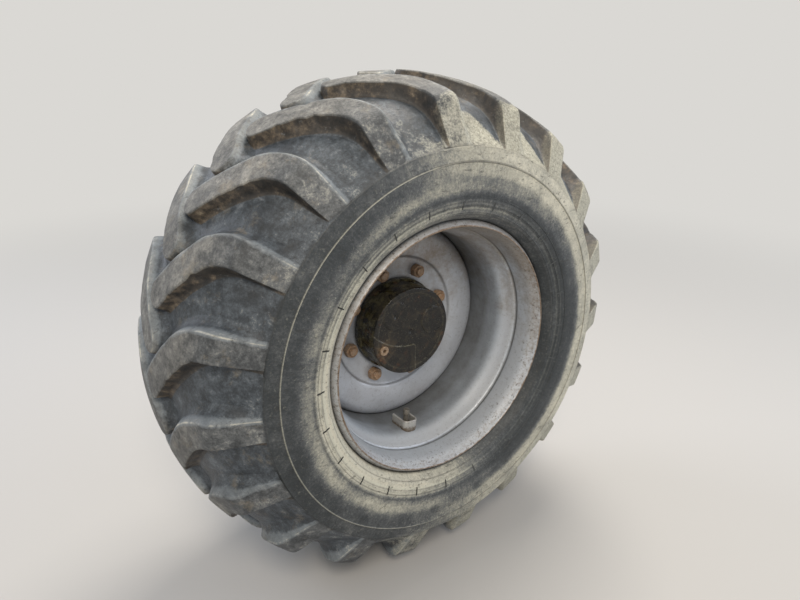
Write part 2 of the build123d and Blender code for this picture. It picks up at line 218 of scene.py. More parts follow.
# Bolts of the arm. Forged steel with a black oxide skin: chamfered hexagon heads, each drawn up to a plain
# washer on the back of the arm's end flange.
ARM_BOLTS = 10
ARM_BOLT_CIRCLE = 106 * MM
ARM_BOLT_HEAD = 10
ARM_BOLT_FLATS = 24
ARM_BACK = -185.2 * MM
HEAD_COLUMNS = 48
head, circle, washer = hexagon(ARM_BOLT_FLATS, HEAD_COLUMNS), ARM_BOLT_FLATS * 0.5, ARM_BOLT_FLATS * 0.66
bolt_head = stack_rings([
    (washer, 0), (washer, ARM_BOLT_HEAD * 0.22), (washer * 0.97, ARM_BOLT_HEAD * 0.26),
    (head, ARM_BOLT_HEAD * 0.26), (head, ARM_BOLT_HEAD * 0.86),
    (np.minimum(head, circle * 1.02), ARM_BOLT_HEAD * 0.97), (circle * 0.93, ARM_BOLT_HEAD),
    (circle * 0.5, ARM_BOLT_HEAD * 0.99), (0, ARM_BOLT_HEAD * 0.99),
], HEAD_COLUMNS)
bolt_steel = cast_iron("Black_oxide_bolt_steel", "#2c2a28", "#6b6258", "#6a4128", 0.4)
points, faces = ring_of(bolt_head, ARM_BOLTS, ARM_BOLT_CIRCLE, ARM_BACK, 1)
make_piece("arm_bolt_heads", points, faces, bolt_steel, "axle_end")

# Spindle and its oil seal. The spindle is forged steel, turned and ground where the hub runs;
# the seal is a black nitrile ring with a thin lip.
# Turned steel keeps fine rings round the axle, drawn 1.5 mm apart so that they show: they draw its glints
# out sideways, and a brown film of old oil dulls them in places.
spindle_steel, node, place = new_material("Turned_forged_steel")
rings = node("TexNoise", node("Mapping", place, Scale=(0.02, 1.0, 0.02)), 1 / (1.5 * MM), 2, 0.55)
film = patches(node, place, 35 * MM, 5, 0.55, (0.35, 0.0), (0.7, 1.0))
rough = node("ValToRGB", film, stops=[(0.0, 0.3), (1.0, 0.6)])
colour = lay_coats(node, "#8b8a86", ("#4a3d30", film))
finish_surface(node, colour, [(rings, 0.05, 0.4)], Metallic=1.0, Roughness=rough)
dress("spindle", spindle_steel)

# Moulded nitrile is black and half dull; greasy dirt makes it brown and uneven.
seal_rubber, node, place = new_material("Nitrile_seal_rubber")
grime = node("TexNoise", place, 1 / (8 * MM), 5, 0.55)
colour = node("ValToRGB", grime, stops=[(0.3, "#141414"), (0.75, "#3a332b")])
finish_surface(node, colour, [(grime, 0.3, 0.5)], Roughness=0.55)
dress("hub_seal", seal_rubber)

# Hub. Ductile iron, cast, and turned where it runs on the spindle and carries the disc. Gear oil has made it
# black and half shiny, and has caught dust.
hub_iron = cast_iron("Oily_ductile_iron", "#191714", "#3f372c", "#4c3020", 0.28)
dress("hub", hub_iron)

# Final drive cover. The planet carrier's iron casting: low bosses over the planet pins, a raised rim,
# and a pad for the plug. It weeps oil, so it is black and shiny with rusty streaks.
COVER_BACK = -340 * MM
COVER_LENGTH = 70.4 * MM
COVER_FACE = COVER_BACK - COVER_LENGTH
COVER_RADIUS = 108.5 * MM
COVER_RIM = 14 * MM
COVER_RECESS = 2 * MM
COVER_EDGE = 4.0 * MM
BOSS_RADIUS = 34 * MM
BOSS_CIRCLE = 67 * MM
BOSS_PHASES = np.radians([12.6, 132.6])
BOSS_RISE = 3 * MM
DIMPLE_RADIUS = 4.6 * MM
DIMPLE_DEPTH = 4.2 * MM
PLUG_CIRCLE = 85.3 * MM
PLUG_PHASE = math.radians(200.8)
SOIL_REACH = 23 * MM
PAD_ARC_CENTRE = (3.2 * MM, 111.9 * MM)
PAD_ARC_RADIUS = 148 * MM
PAD_SIDE = 13 * MM
PAD_CORNER = 9 * MM
AXIS_COLUMNS = 360


def turn(profile, segments):
    """Points of a profile of (radius, y) turned round the axle: x = r cos a, z = r sin a, row by row."""
    profile, angle = np.asarray(profile, float), circle_angles(segments)
    radius, along = profile[:, :1], np.broadcast_to(profile[:, 1:], (len(profile), segments))
    return np.stack([radius * np.cos(angle), along, radius * np.sin(angle)], -1).reshape(-1, 3)


def soft_step(distance, width):
    """Smooth step from 1 inside to 0 outside, width wide: the cubic 3u^2 - 2u^3 of the distance."""
    amount = np.clip(0.5 - distance / width, 0, 1)
    return amount * amount * (3 - 2 * amount)


def ridge(distance, width):
    """Soft ridge that is 1 on its line: e to the power of minus the square of distance over width."""
    return np.exp(-(distance / width) ** 2)


def cover_face(radius, angle):
    """Height of the cast front, a shallow dish inside the rim with round bosses and the plug's pad standing in
    it, and how near each point is to an outline and to the plug, round which soil is caked."""
    x, z = radius * np.cos(angle), radius * np.sin(angle)

    def away_from(out, turn_by):
        """Distance from a point that far out from the axle, at an angle."""
        return np.hypot(x - out * math.cos(turn_by), z - out * math.sin(turn_by))

    height = -COVER_RECESS * soft_step(radius - (COVER_RADIUS - COVER_RIM), 3 * MM)
    outline = 0.16 * ridge(radius - COVER_RADIUS + 13 * MM, 1.6 * MM)
    for turn_by in BOSS_PHASES:
        distance = away_from(BOSS_CIRCLE, turn_by) - BOSS_RADIUS
        boss = BOSS_RISE * soft_step(distance, 1.6 * MM) - 0.5 * MM * ridge(distance + 2.0 * MM, 0.9 * MM)
        height = np.maximum(height, -COVER_RECESS + boss)
        outline = np.maximum(outline, 0.14 * ridge(distance + 0.3 * MM, 1.3 * MM))
    above = PAD_ARC_RADIUS - np.hypot(x - PAD_ARC_CENTRE[0], z - PAD_ARC_CENTRE[1])
    corner = np.hypot(np.maximum(above + PAD_CORNER, 0), np.maximum(x - PAD_SIDE + PAD_CORNER, 0))
    outside = corner - PAD_CORNER + np.minimum(np.maximum(above, x - PAD_SIDE) + PAD_CORNER, 0)
    pad = COVER_RECESS * soft_step(outside, 1.2 * MM) + 0.45 * MM * ridge(outside + 0.8 * MM, 0.6 * MM)
    height = np.maximum(height, -COVER_RECESS + pad)
    outline = np.maximum(outline, 0.55 * ridge(outside + 0.5 * MM, 1.1 * MM))
    for out, turn_by in ((0.0, 0.0), (BOSS_CIRCLE, BOSS_PHASES[1])):
        height = height - DIMPLE_DEPTH * ridge(away_from(out, turn_by), DIMPLE_RADIUS)
    return height, outline, ridge(away_from(PLUG_CIRCLE, PLUG_PHASE), SOIL_REACH)


def weigh(node, *terms):
    """Sum of the terms, each of them a value or a pair of a value and its weight."""
    values = [node("MULTIPLY", *term) if isinstance(term, tuple) else term for term in terms]
    return functools.reduce(functools.partial(node, "ADD"), values)


def measure(node, place):
    """Sockets for the distance from the axle, the distance along it and the height, all in metres."""
    x, along, z = node("SeparateXYZ", place).node.outputs
    return node("SQRT", weigh(node, (x, x), (z, z))), along, z


# The front's rows run out from the axle, the last ones over its rounded edge.
EDGE_IN = np.array([0.9, 0.6, 0.34, 0.14, 0.03, 0])
EDGE_DROP = np.array([0.01, 0.08, 0.22, 0.45, 0.78, 1.2])
flat_radius = np.linspace(0.001 * MM, COVER_RADIUS - 4.5 * MM, 92)
front_radius = np.concatenate([flat_radius, COVER_RADIUS - COVER_EDGE * EDGE_IN])
edge_drop = COVER_EDGE * np.concatenate([0 * flat_radius, EDGE_DROP])
radius_grid, angle_grid = np.meshgrid(front_radius, circle_angles(AXIS_COLUMNS), indexing="ij")
height, outline, soil = cover_face(radius_grid, angle_grid)
height = height - edge_drop[:, None]
front = np.stack([
    radius_grid * np.cos(angle_grid), COVER_FACE - height, radius_grid * np.sin(angle_grid),
], -1)
cover_side = np.array([
    (108.8, 396.5), (109.6, 376), (109.9, 363), (110.2, 360.4), (111.2, 358.4), (112.8, 356.6),
    (114.0, 354.9), (114.5, 352.6), (114.5, 341.6), (113.7, 340.3), (60, 340.1), (0.001, 340.1),
]) * (MM, -MM)
casting = np.concatenate([front.reshape(-1, 3), turn(cover_side, AXIS_COLUMNS)])
plain = np.zeros((len(cover_side), AXIS_COLUMNS))

# Cast iron wet with gear oil is nearly black, with wide glints where the oil is clean. Where it has caught
# soil it is brown and dull; rust creeps in from its edge, and pale crumbs of soil lie all over it.
cover_iron, node, place = new_material("Oil_wet_cast_iron")
outwards = node("MULTIPLY", measure(node, place)[0], 8.0)
soil_here, outline_here = (
    node("Attribute", attribute_name=tag).node.outputs["Fac"] for tag in ("soil", "outline")
)
grain = node("TexNoise", place, 1 / (1.6 * MM), 3, 0.55)
dirt = node("TexNoise", place, 1 / (24 * MM), 8, 0.64, Distortion=0.8)
crust = node("ValToRGB", dirt, stops=[(0.50, 0.0), (0.66, 1.0)])
rusty = node("TexNoise", node("Mapping", place, Scale=(1.0, 0.6, 1.0)), 1 / (22 * MM), 7, 0.66)
rusty = node("ValToRGB", weigh(node, rusty, (soil_here, 0.1)), stops=[(0.57, 0.0), (0.70, 1.0)])
near_edge = node("ValToRGB", outwards, stops=[(0.55, 0.25), (0.84, 0.95)])
lichen = patches(node, place, 18 * MM, 7, 0.7, (0.44, 0.0), (0.62, 1.0), Distortion=0.5)
on_side = node("ValToRGB", outwards, stops=[(0.858, 0.0), (0.872, 1.0)])
caked = patches(node, place, 7 * MM, 6, 0.72, (0.44, 0.15), (0.60, 1.0))
speck = patches(node, place, 3.6 * MM, 5, 0.74, (0.59, 0.0), (0.66, 1.0))
speckled = node("MAXIMUM", node("MULTIPLY", crust, 0.5), soil_here)
# Pale flecks along the outlines of the pad and bosses: painted highlight on their raised edges, broken by
# noise.
edge_highlight_flecks = patches(node, place, 12 * MM, 7, 0.72, (0.40, 0.05), (0.56, 0.85))
colour = lay_coats(
    node, "#100f0d", ("#302b22", crust), ("#5a3820", rusty, near_edge, 0.8), ("#5f593c", lichen, on_side, 0.75),
    ("#6b573e", caked, soil_here, 0.7), ("#938a6e", speck, weigh(node, (speckled, 0.5), 0.28)),
    ("#8b8670", edge_highlight_flecks, outline_here),
)
rough = node("ValToRGB", dirt, stops=[(0.34, 0.14), (0.48, 0.30), (0.62, 0.6)])
finish_surface(
    node, colour, [(grain, 0.3, 0.3), (dirt, 3.0, 0.3), (speck, 0.4, 0.35)],
    Roughness=rough, Specular_IOR_Level=0.38,
)
make_piece(
    "final_drive_casting", casting, grid_faces(len(front) + len(cover_side), AXIS_COLUMNS), cover_iron, "wheel",
    ["final_drive_cover"], 50,
    tags={"outline": np.concatenate([outline, plain]), "soil": np.concatenate([soil, plain])},
)

# Filler and drain plug. A turned steel plug with a hexagon socket and a collar, screwed into the cover's pad
# and rusted all over.
PLUG_HEAD = 11.6
PLUG_SOCKET = 8.6


def rusted_steel(name, tones, film, shine):
    """Bare steel that has rusted outdoors: scales of about 2 mm in four tones under a thin film of dust, so
    the eye sees a rough, mottled brown with no glints."""
    material, node, place = new_material(name)
    scale = node("TexNoise", place, 1 / (2.4 * MM), 6, 0.7)
    rust = node("ValToRGB", scale, stops=list(zip((0.30, 0.45, 0.6, 0.72), tones)))
    colour = lay_coats(node, rust, (film, patches(node, place, 9 * MM, 4, 0.55, (0.4, 0.0), (0.7, 0.6))))
    finish_surface(node, colour, [(scale, 0.6, 0.6)], Roughness=shine)
    return material


PLUG_RUST = ("#4c3a2b", "#786049", "#a28d75", "#cbbda6")
rust_steel = rusted_steel("Rusted_turned_steel", PLUG_RUST, "#7a6a58", 0.55)
key_socket = hexagon(PLUG_SOCKET)
plug = stack_rings([
    (PLUG_HEAD * 0.8, -3), (PLUG_HEAD, -0.3), (PLUG_HEAD, 2.6), (PLUG_HEAD * 0.97, 3.3), (PLUG_HEAD * 0.9, 3.7),
    (PLUG_HEAD * 0.76, 3.8), (PLUG_HEAD * 0.64, 3.7), (PLUG_SOCKET * 0.6, 3.3), (key_socket, 2.7),
    (key_socket, -2.6), (key_socket * 0.8, -2.8), (0, -4.4),
])
points, faces = ring_of(plug, 1, PLUG_CIRCLE, COVER_FACE, -1, PLUG_PHASE)
make_piece("socket_plug", points, faces, rust_steel, "wheel", ["drain_plug"], 40, closed=False)

# Disc. A pressed steel dish, spray painted silver: a flat for the nuts, a step, a broad rolled bead
# and a skirt that is welded to the rim's well from behind.
DISC_PROFILE = [
    (110.6, -338), (160.5, -338), (163.6, -338.6), (166.0, -340.4), (167.8, -342.8), (169.8, -344.6),
    (173.0, -345.9), (180.0, -347.4), (190.0, -349.2), (200.0, -350.7), (210.0, -351.6), (218.0, -351.95),
    (223.7, -352.0),
]
CURL_CENTRE = (223.7, -326.0)
CURL_RADIUS = 26.0
DISC_BACK = [
    (235.7, -300), (235.7, -326), (223.7, -338.0), (208.0, -337.4), (190.0, -335.2), (178.0, -332.6),
    (170.0, -329.4), (166.0, -326.4), (162.0, -324.4), (158.0, -324.0), (110.6, -324.0),
]
DISC_COLUMNS = 360
MIDDLE = -320.0


def off_middle(node, along):
    """Distance from the wheel's middle plane along the axle, times four so that it fits a ramp."""
    return node("MULTIPLY", node("ABSOLUTE", node("ADD", along, -MIDDLE * MM)), 4.0)


def wheel_paint(name, base, shade, film_cover, wear, grime, painted_highlight=(), lip_grime_and_shade=(), across=False):
    """Sprayed silver enamel. Its orange peel, drawn about 3 mm wide, and a film of dust soften its sheen;
    brown grows high up inside the wheel, partly caked dust and partly painted warm sunlight; pits, chips and
    rust show where wear is high, and dark dirt and painted shade in creases and gaps lie where grime is. Wear,
    grime and the painted pale highlights are stops over the radius in metres or, with across, over the distance
    off the wheel's middle; the lip's grime, which also paints shade on its outer face, is over three times the
    radius."""
    material, node, place = new_material(name)
    radius, along, height = measure(node, place)
    where = off_middle(node, along) if across else radius
    outwards = node("MULTIPLY", radius, 3.0)
    # Grime darkens the paint: dirt, and also painted shade in creases, gaps and on the lip's outer face.
    worn, grime_and_shade = node("ValToRGB", where, stops=wear), node("ValToRGB", where, stops=grime)
    if lip_grime_and_shade:
        grime_and_shade = node("MAXIMUM", grime_and_shade, node("ValToRGB", outwards, stops=lip_grime_and_shade))
    peel = node("TexNoise", place, 1 / (3 * MM), 2, 0.55)
    cloud = node("TexNoise", place, 1 / (75 * MM), 9, 0.70, Distortion=0.15)
    mottle = node("TexNoise", place, 1 / (9 * MM), 8, 0.74)
    edge_noise = node("TexNoise", place, 1 / (11 * MM), 8, 0.72)
    film = node("ValToRGB", cloud, stops=[(0.36, 0.0), (0.66, 1.0)])
    # Painted highlight: near white bands where the pale stops say.
    highlight_coat = [("#dfe2e6", node("ValToRGB", where, stops=painted_highlight))] if painted_highlight else []
    # Brown grows with the height inside the wheel: partly caked dust, partly painted warm sunlight on the upper
    # inside.
    caked = node("MULTIPLY", weigh(node, (height, 1.5), (worn, 0.3), cloud, (mottle, 0.4)), 0.7)
    dust_and_sun_brown = node("ValToRGB", caked, stops=[(0.54, 0.0), (0.79, 0.68)])
    off_lip = node("ValToRGB", outwards, stops=[(0.864, 1.0), (0.870, 0.3)])
    fleck = node("ValToRGB", mottle, stops=[(0.56, 0.0), (0.66, 1.0)])
    chalk = node("ValToRGB", mottle, stops=[(0.30, 1.0), (0.42, 0.0)])
    rust = node("ValToRGB", weigh(node, (worn, 0.5), (edge_noise, 0.7)), stops=[(0.76, 0.0), (0.86, 1.0)])
    rust_tone = patches(node, place, 5 * MM, 4, 0.55, (0.35, "#4e382a"), (0.6, "#7a6350"), (0.75, "#9c8771"))
    pits = patches(node, place, 2.6 * MM, 3, 0.6, (0.64, 0.0), (0.69, 1.0))
    pits = node("MULTIPLY", pits, weigh(node, (worn, 0.9), 0.16))
    splashed = node("ValToRGB", weigh(node, (worn, 0.5), (mottle, 0.6)), stops=[(0.60, 0.0), (0.78, 0.55)])
    chips = patches(node, place, 7.5 * MM, 6, 0.72, (0.575, 0.0), (0.61, 1.0))
    grime_and_shade = node("MULTIPLY", grime_and_shade, node("ValToRGB", cloud, stops=[(0.3, 0.8), (0.6, 1.0)]))
    colour = lay_coats(
        node, base, (shade, film, film_cover), *highlight_coat, ("#86755f", dust_and_sun_brown, off_lip),
        ("#756b60", fleck, weigh(node, (worn, 0.6), 0.1)), ("#d2d4d6", chalk, weigh(node, (worn, 0.5), 0.2)),
        (rust_tone, rust, 0.85), ("#35302b", pits), ("#85715a", splashed),
        ("#4b4036", chips, weigh(node, (worn, 0.9), 0.04)), ("#38352f", grime_and_shade),
    )
    dull = node("MAXIMUM", node("MAXIMUM", rust, grime_and_shade), node("MULTIPLY", film, 0.6))
    finish_surface(
        node, colour,
        [(peel, 0.12, 0.25), (node("MULTIPLY", pits, -1.0), 0.5, 0.5), (rust, 0.4, 0.5), (cloud, 1.2, 0.3)],
        Roughness=node("ValToRGB", dull, stops=[(0.0, 0.34), (1.0, 0.68)]), Metallic=0.35,
        Coat_Weight=0.2, Coat_Roughness=0.22,
    )
    return material


# The disc's base is tinted blue, partly a painted reflection of the sky.
disc_paint = wheel_paint(
    "Sprayed_silver_enamel_disc", "#b1b6be", "#98979a", 0.5,
    wear=[(0.0, 0.15), (0.112, 0.4), (0.13, 0.1), (0.25, 0.25)],
    # The disc's grime stops are painted shade lines: at the bore's edge, at the step round the flat, and in the
    # gap at the well.
    grime=[
        (0.113, 0.8), (0.120, 0.0), (0.163, 0.0), (0.1665, 0.5), (0.170, 0.0), (0.244, 0.0), (0.2496, 1.0),
    ],
)
sweep = np.radians(np.linspace(0, 90, 15))[1:, None]
curl = CURL_CENTRE + CURL_RADIUS * np.concatenate([np.sin(sweep), -np.cos(sweep)], 1)
profile = np.concatenate([DISC_PROFILE, curl, [(249.6, -301), (248.6, -300)], DISC_BACK]) * MM
make_piece(
    "pressed_disc", turn(profile, DISC_COLUMNS), grid_faces(len(profile), DISC_COLUMNS, wrap_rows=True),
    disc_paint, "wheel", ["disc"], 60,
)

# Weld. One bead of steel, laid all round, joins the disc's skirt to the rim's well. It is rippled as it was
# laid, and painted with the disc.
WELD_CIRCLE = 246.5 * MM
WELD_LEVEL = -299.0 * MM
WELD_RADIUS = 4.2 * MM
WELD_ROWS = 12
WELD_COLUMNS = 720
angle = circle_angles(WELD_COLUMNS)
around = circle_angles(WELD_ROWS)[:, None]
swell = 1 + 0.1 * np.sin(angle * 150)[None] + 0.06 * np.sin(angle * 13)[None]
weld_radius = WELD_CIRCLE + WELD_RADIUS * np.cos(around) * swell
weld_along = WELD_LEVEL + WELD_RADIUS * np.sin(around) * swell
weld = np.stack([weld_radius * np.cos(angle), weld_along, weld_radius * np.sin(angle)], -1)
make_piece(
    "skirt_weld", weld.reshape(-1, 3), grid_faces(WELD_ROWS, WELD_COLUMNS, wrap_rows=True), disc_paint,
    "wheel", (), 60,
)

# Wheel nuts and stud ends. Zinc plated steel that has rusted brown: plain chamfered hexagon nuts, with
# the end of the stud's rolled thread standing out of each.
STUDS = 8
STUD_CIRCLE = 137.5 * MM
STUD_PHASE = math.radians(17.0)
NUT_FLATS = 30
NUT_SEAT = -338.0 * MM
THREAD_RADIUS = 9.9
THREAD_DEPTH = 0.75
THREAD_PITCH = 1.9
nut = hexagon(NUT_FLATS)
thread_level = np.linspace(16.2, 22.9, 22)
winding = thread_level[:, None] / THREAD_PITCH - circle_angles(72) / (2 * np.pi)
thread = THREAD_RADIUS - THREAD_DEPTH * np.abs(winding % 1 * 2 - 1)
nut_and_stud = stack_rings([
    (np.minimum(nut, 15.2), 0.0), (np.minimum(nut, 16.4), 0.9), (nut, 2.2), (nut, 13.6),
    (np.minimum(nut, 16.2), 15.2), (np.minimum(nut, 15.0), 16.4), (13.4, 17.0), (11.4, 17.0), (10.5, 16.3),
    (9.8, 16.0), *zip(thread, thread_level), (8.6, 23.5), (7.4, 23.9), (0.0, 23.9),
])
points, faces = ring_of(nut_and_stud, STUDS, STUD_CIRCLE, NUT_SEAT, -1, STUD_PHASE)
NUT_RUST = ("#5a4434", "#86674c", "#a68769", "#c0ab8f")
nut_steel = rusted_steel("Rusted_plated_nut_steel", NUT_RUST, "#93887a", 0.6)
make_piece(
    "wheel_nuts_and_studs", points, faces, nut_steel, "wheel", ["wheel_nuts"], 40, closed=False,
)

# Stud shanks. The plain part of the same steel studs, pressed into the hub's flange from behind and passing
# through the disc's holes.
SHANK_SEAT = -300 * MM
shank = stack_rings([(0.0, 0), (8.8, 0), (9.8, 1.0), (9.8, 37.8), (0.0, 37.8)])
points, faces = ring_of(shank, STUDS, STUD_CIRCLE, SHANK_SEAT, -1, STUD_PHASE)
make_piece("stud_shanks", points, faces, nut_steel, "wheel", (), 40)

# Rim. Rolled and welded steel, sprayed silver: curled lips, bead seats that slope inwards, a step,
# a rounded ramp and a deep well. Stones and tyre tools have worn its lips down to rusty steel.
# Its half profile is the distance off the wheel's middle and the radius, out from the well and back.
RIM_SIDE = [
    (92, 250.0), (104, 250.0), (109, 250.3), (113, 251.0), (118, 252.6), (124, 255.2), (131, 258.6),
    (138, 261.8), (145, 264.4), (151, 266.1), (156, 267.1), (159.6, 267.9), (161.8, 269.0), (163.2, 270.6),
    (164.4, 272.4), (165.6, 273.3), (167.0, 273.1), (168.6, 272.4), (171, 272.3), (185, 273.7),
    (198, 275.1), (206, 276.3), (213, 278.2), (219, 280.5), (224, 282.8), (228, 284.4), (231, 285.4),
    (233.2, 286.2), (234.5, 287.0), (235.0, 288.0), (234.6, 289.2), (233.4, 290.6), (231.4, 292.0),
    (228.6, 293.8), (225.6, 295.8), (222.8, 297.8), (220.4, 299.0), (218.4, 299.2), (217.4, 298.2),
    (218.6, 296.8), (222.8, 294.4), (226.6, 291.6), (228.2, 289.6), (226.4, 288.1), (220, 286.9),
    (205, 283.6), (168, 279.6), (161, 276.6), (154, 274.4), (146, 271.8), (138, 268.4), (128, 263.8),
    (118, 259.8), (108, 257.6), (96, 257.0),
]
RIM_COLUMNS = 480
rim_side = np.array(RIM_SIDE)
front = np.stack([rim_side[:, 1], MIDDLE - rim_side[:, 0]], -1)
back = np.stack([rim_side[:, 1], MIDDLE + rim_side[:, 0]], -1)[::-1]
profile = np.concatenate([front, back]) * MM
# The rim's base is tinted blue, partly a painted reflection of the sky.
rim_paint = wheel_paint(
    "Sprayed_silver_enamel_rim", "#b4bcc5", "#93969a", 0.5,
    wear=[
        (0.60, 0.10), (0.66, 0.35), (0.70, 0.12), (0.80, 0.35), (0.86, 0.62), (0.905, 0.70), (0.932, 0.62),
        (0.936, 1.0),
    ],
    # The rim's grime darkens the well and paints a shadow line in the crease between the ramp and the seat.
    grime=[
        (0.27, 0.7), (0.36, 0.40), (0.46, 0.28), (0.52, 0.0), (0.649, 0.0), (0.658, 0.75), (0.670, 0.7),
        (0.685, 0.0),
    ],
    # The pale stops paint highlights: on the lit ramp, on the seat and on the top of the lip.
    painted_highlight=[
        (0.48, 0.0), (0.54, 0.45), (0.63, 0.75), (0.655, 0.0), (0.68, 0.25), (0.80, 0.4), (0.87, 0.6),
        (0.93, 0.6),
    ],
    # The lip's outer face is darkened, partly dirt and partly painted shade.
    lip_grime_and_shade=[(0.862, 0.0), (0.866, 0.12), (0.882, 0.25), (0.895, 0.6)], across=True,
)
make_piece(
    "rolled_rim", turn(profile, RIM_COLUMNS), grid_faces(len(profile), RIM_COLUMNS, wrap_rows=True), rim_paint,
    "wheel", ["rim"], 50,
)

# Tyre valve. A steel body with a hexagon foot against the well, a stem and a knurled cap that
# points at the axle.
VALVE_PHASE = math.radians(265)
VALVE_OUT = 96.0
VALVE_FOOT = 249.3 * MM
VALVE_FLATS = 19


def stand_on_well(shape, foot):
    """Turns a shape drawn along z so that z runs from the well towards the axle, at the valve's place."""
    inwards = np.array([-math.cos(VALVE_PHASE), 0, -math.sin(VALVE_PHASE)])
    across = np.array([-math.sin(VALVE_PHASE), 0, math.cos(VALVE_PHASE)])
    axial = np.array([0.0, 1.0, 0.0])
    origin = -inwards * foot + axial * (MIDDLE - VALVE_OUT) * MM
    return origin + shape[..., :1] * across + shape[..., 1:2] * axial + shape[..., 2:] * inwards


# Dull plated steel: half metallic and grey, browned in patches by greasy dirt.
valve_steel, node, place = new_material("Dull_plated_steel_valve")
grime = node("TexNoise", place, 1 / (4 * MM), 5, 0.65)
colour = node("ValToRGB", grime, stops=[(0.3, "#5a5853"), (0.55, "#8a867e"), (0.75, "#6d5a48")])
finish_surface(node, colour, [(grime, 0.3, 0.5)], Metallic=0.6, Roughness=0.5)
foot = hexagon(VALVE_FLATS)
knurl = 8.0 + 0.3 * np.cos(circle_angles(72) * 18)
valve = stack_rings([
    (0.0, 0.1), (foot, 0.1), (foot, 5.2), (8.6, 6.2), (6.6, 6.4), (6.4, 28.0), (4.4, 28.4), (4.4, 29.6),
    (7.6, 29.8), (knurl, 31.0), (knurl, 41.0), (7.8, 44.4), (4.0, 45.6), (0.0, 45.8),
])
make_piece(
    "tyre_valve_body", stand_on_well(valve, VALVE_FOOT).reshape(-1, 3), grid_faces(*valve.shape[:2]),
    valve_steel, "wheel", ["tyre_valve"], 35,
)

# Valve guard. A strip of 5 mm plate bent to a U round the valve, welded to the well and the foot of
# the ramp, sprayed with the rim, chipped, and rusty along its weld.
GUARD_WALL = 5.0
GUARD_HEIGHT = 24.0
GUARD_HALF_WIDTH = 21.0
GUARD_BEND = 15.0
GUARD_REACH = 27.0
GUARD_FOOT = 249.7
GUARD_ROUNDING = 1.0
WELL_RADIUS = 250
WELL_TO_RAMP = 14
straight = np.linspace(-GUARD_REACH, GUARD_REACH - GUARD_BEND, 8)
bend = np.radians(np.linspace(0, 90, 10))[1:-1]
front_run = np.linspace(-GUARD_HALF_WIDTH + GUARD_BEND, 0, 4)
half_path = np.concatenate([
    np.stack([0 * straight - GUARD_HALF_WIDTH, straight], -1),
    np.stack([1 - np.cos(bend), np.sin(bend)], -1) * GUARD_BEND + (-GUARD_HALF_WIDTH, GUARD_REACH - GUARD_BEND),
    np.stack([front_run, 0 * front_run + GUARD_REACH], -1),
])
path = np.concatenate([half_path, half_path[-2::-1] * (-1, 1)])
tangent = np.gradient(path, axis=0)
tangent /= np.linalg.norm(tangent, axis=1)[:, None]
inside = np.stack([tangent[:, 1], -tangent[:, 0]], -1)
# The plate's section, as how deep in the plate and how far from the well; at 0 it follows the well.
section = [
    (0.7, 0), (0, 0), (0, GUARD_HEIGHT - 1.2), (GUARD_ROUNDING, GUARD_HEIGHT),
    (GUARD_WALL - GUARD_ROUNDING, GUARD_HEIGHT), (GUARD_WALL, GUARD_HEIGHT - 1.2), (GUARD_WALL, 0),
]
plate = []
for depth, up in section:
    spot = path + inside * depth
    below = np.interp(VALVE_OUT + spot[:, 1], *rim_side[:WELL_TO_RAMP].T)
    base = GUARD_FOOT - np.sqrt(below**2 - spot[:, 0] ** 2) if up == 0 else np.full(len(spot), up)
    plate.append(np.stack([spot[:, 0], -spot[:, 1], base], -1) * MM)
plate = stand_on_well(np.stack(plate), WELL_RADIUS * MM)
rows, columns = plate.shape[:2]
ends = [np.arange(rows)[::-1] * columns, np.arange(rows) * columns + columns - 1]
guard_paint = wheel_paint(
    "Sprayed_silver_enamel_guard", "#c2c3c1", "#a19d95", 0.8,
    wear=[(0.228, 0.6), (0.240, 0.5), (0.247, 1.0)], grime=[(0.236, 0.1), (0.252, 0.6)],
)
make_piece(
    "bent_guard", plate.reshape(-1, 3), grid_faces(rows, columns, wrap_rows=True, wrap_columns=False),
    guard_paint, "wheel", ["valve_guard"], 35, closed=False, caps=ends,
)

# Tyre casing. Black rubber over textile plies, moulded in one: plain groove floors, a stepped
# shoulder, a fine moulding line, and rings round the bead. Dusty and scuffed; it is paler where the dust tag is
# high and dark where it is low, partly dust and partly painted sunlight and shade.
# Its half profile is the distance off the middle and the radius: floor, outer wall, bead, inner wall.
FLOOR = np.array([
    (0, 561.0), (30, 560.4), (60, 558.0), (90, 553.4), (115, 546.6), (135, 538.6), (155, 528.4),
    (175, 515.2), (195, 499.4), (212, 484.8), (226, 472.6), (236, 463.8), (243.5, 457.4),
])
SHOULDER_TO_BEAD = [
    (245.4, 456.4), (246.5, 455.2), (246.6, 453.4), (247.9, 447), (249.9, 440), (251.4, 434),
    (252.4, 429.6), (252.9, 427.4), (253.3, 426.7), (254.2, 426.2), (254.7, 425.4), (254.2, 424.6),
    (253.4, 424.1), (253.3, 422.6), (253.9, 414), (254.5, 404), (254.8, 393), (254.8, 382), (254.4, 371),
    (253.7, 362), (252.9, 355.4), (252.6, 353.8), (253.3, 353.0), (253.2, 352.0), (252.2, 351.2),
    (251.5, 347), (250.1, 340.6), (249.6, 338.6), (250.2, 337.8), (250.0, 336.8), (248.9, 336.0),
    (247.3, 330), (245.3, 323.6), (244.8, 322.2), (245.3, 321.4), (245.0, 320.4), (243.7, 319.6),
    (242.4, 316.4), (240.6, 314.2), (238.4, 312.6), (235.0, 310.2), (231, 307.3), (226, 303.7),
    (222.4, 301.0), (220.4, 300.3), (217, 300.1), (214.8, 297), (213.0, 291), (206, 286.6), (190, 282.4),
    (188.6, 284), (194, 300), (214, 332), (229, 372), (231.5, 402), (225, 440), (202, 474), (152, 500),
    (90, 521), (0, 530),
]
SHOULDER_END = 243.5
CASING_COLUMNS = 456


def floor_radius(t):
    """Radius of the casing between the lugs, by interpolation on the distance from the tyre's middle."""
    return np.interp(np.abs(t), FLOOR[:, 0], FLOOR[:, 1])


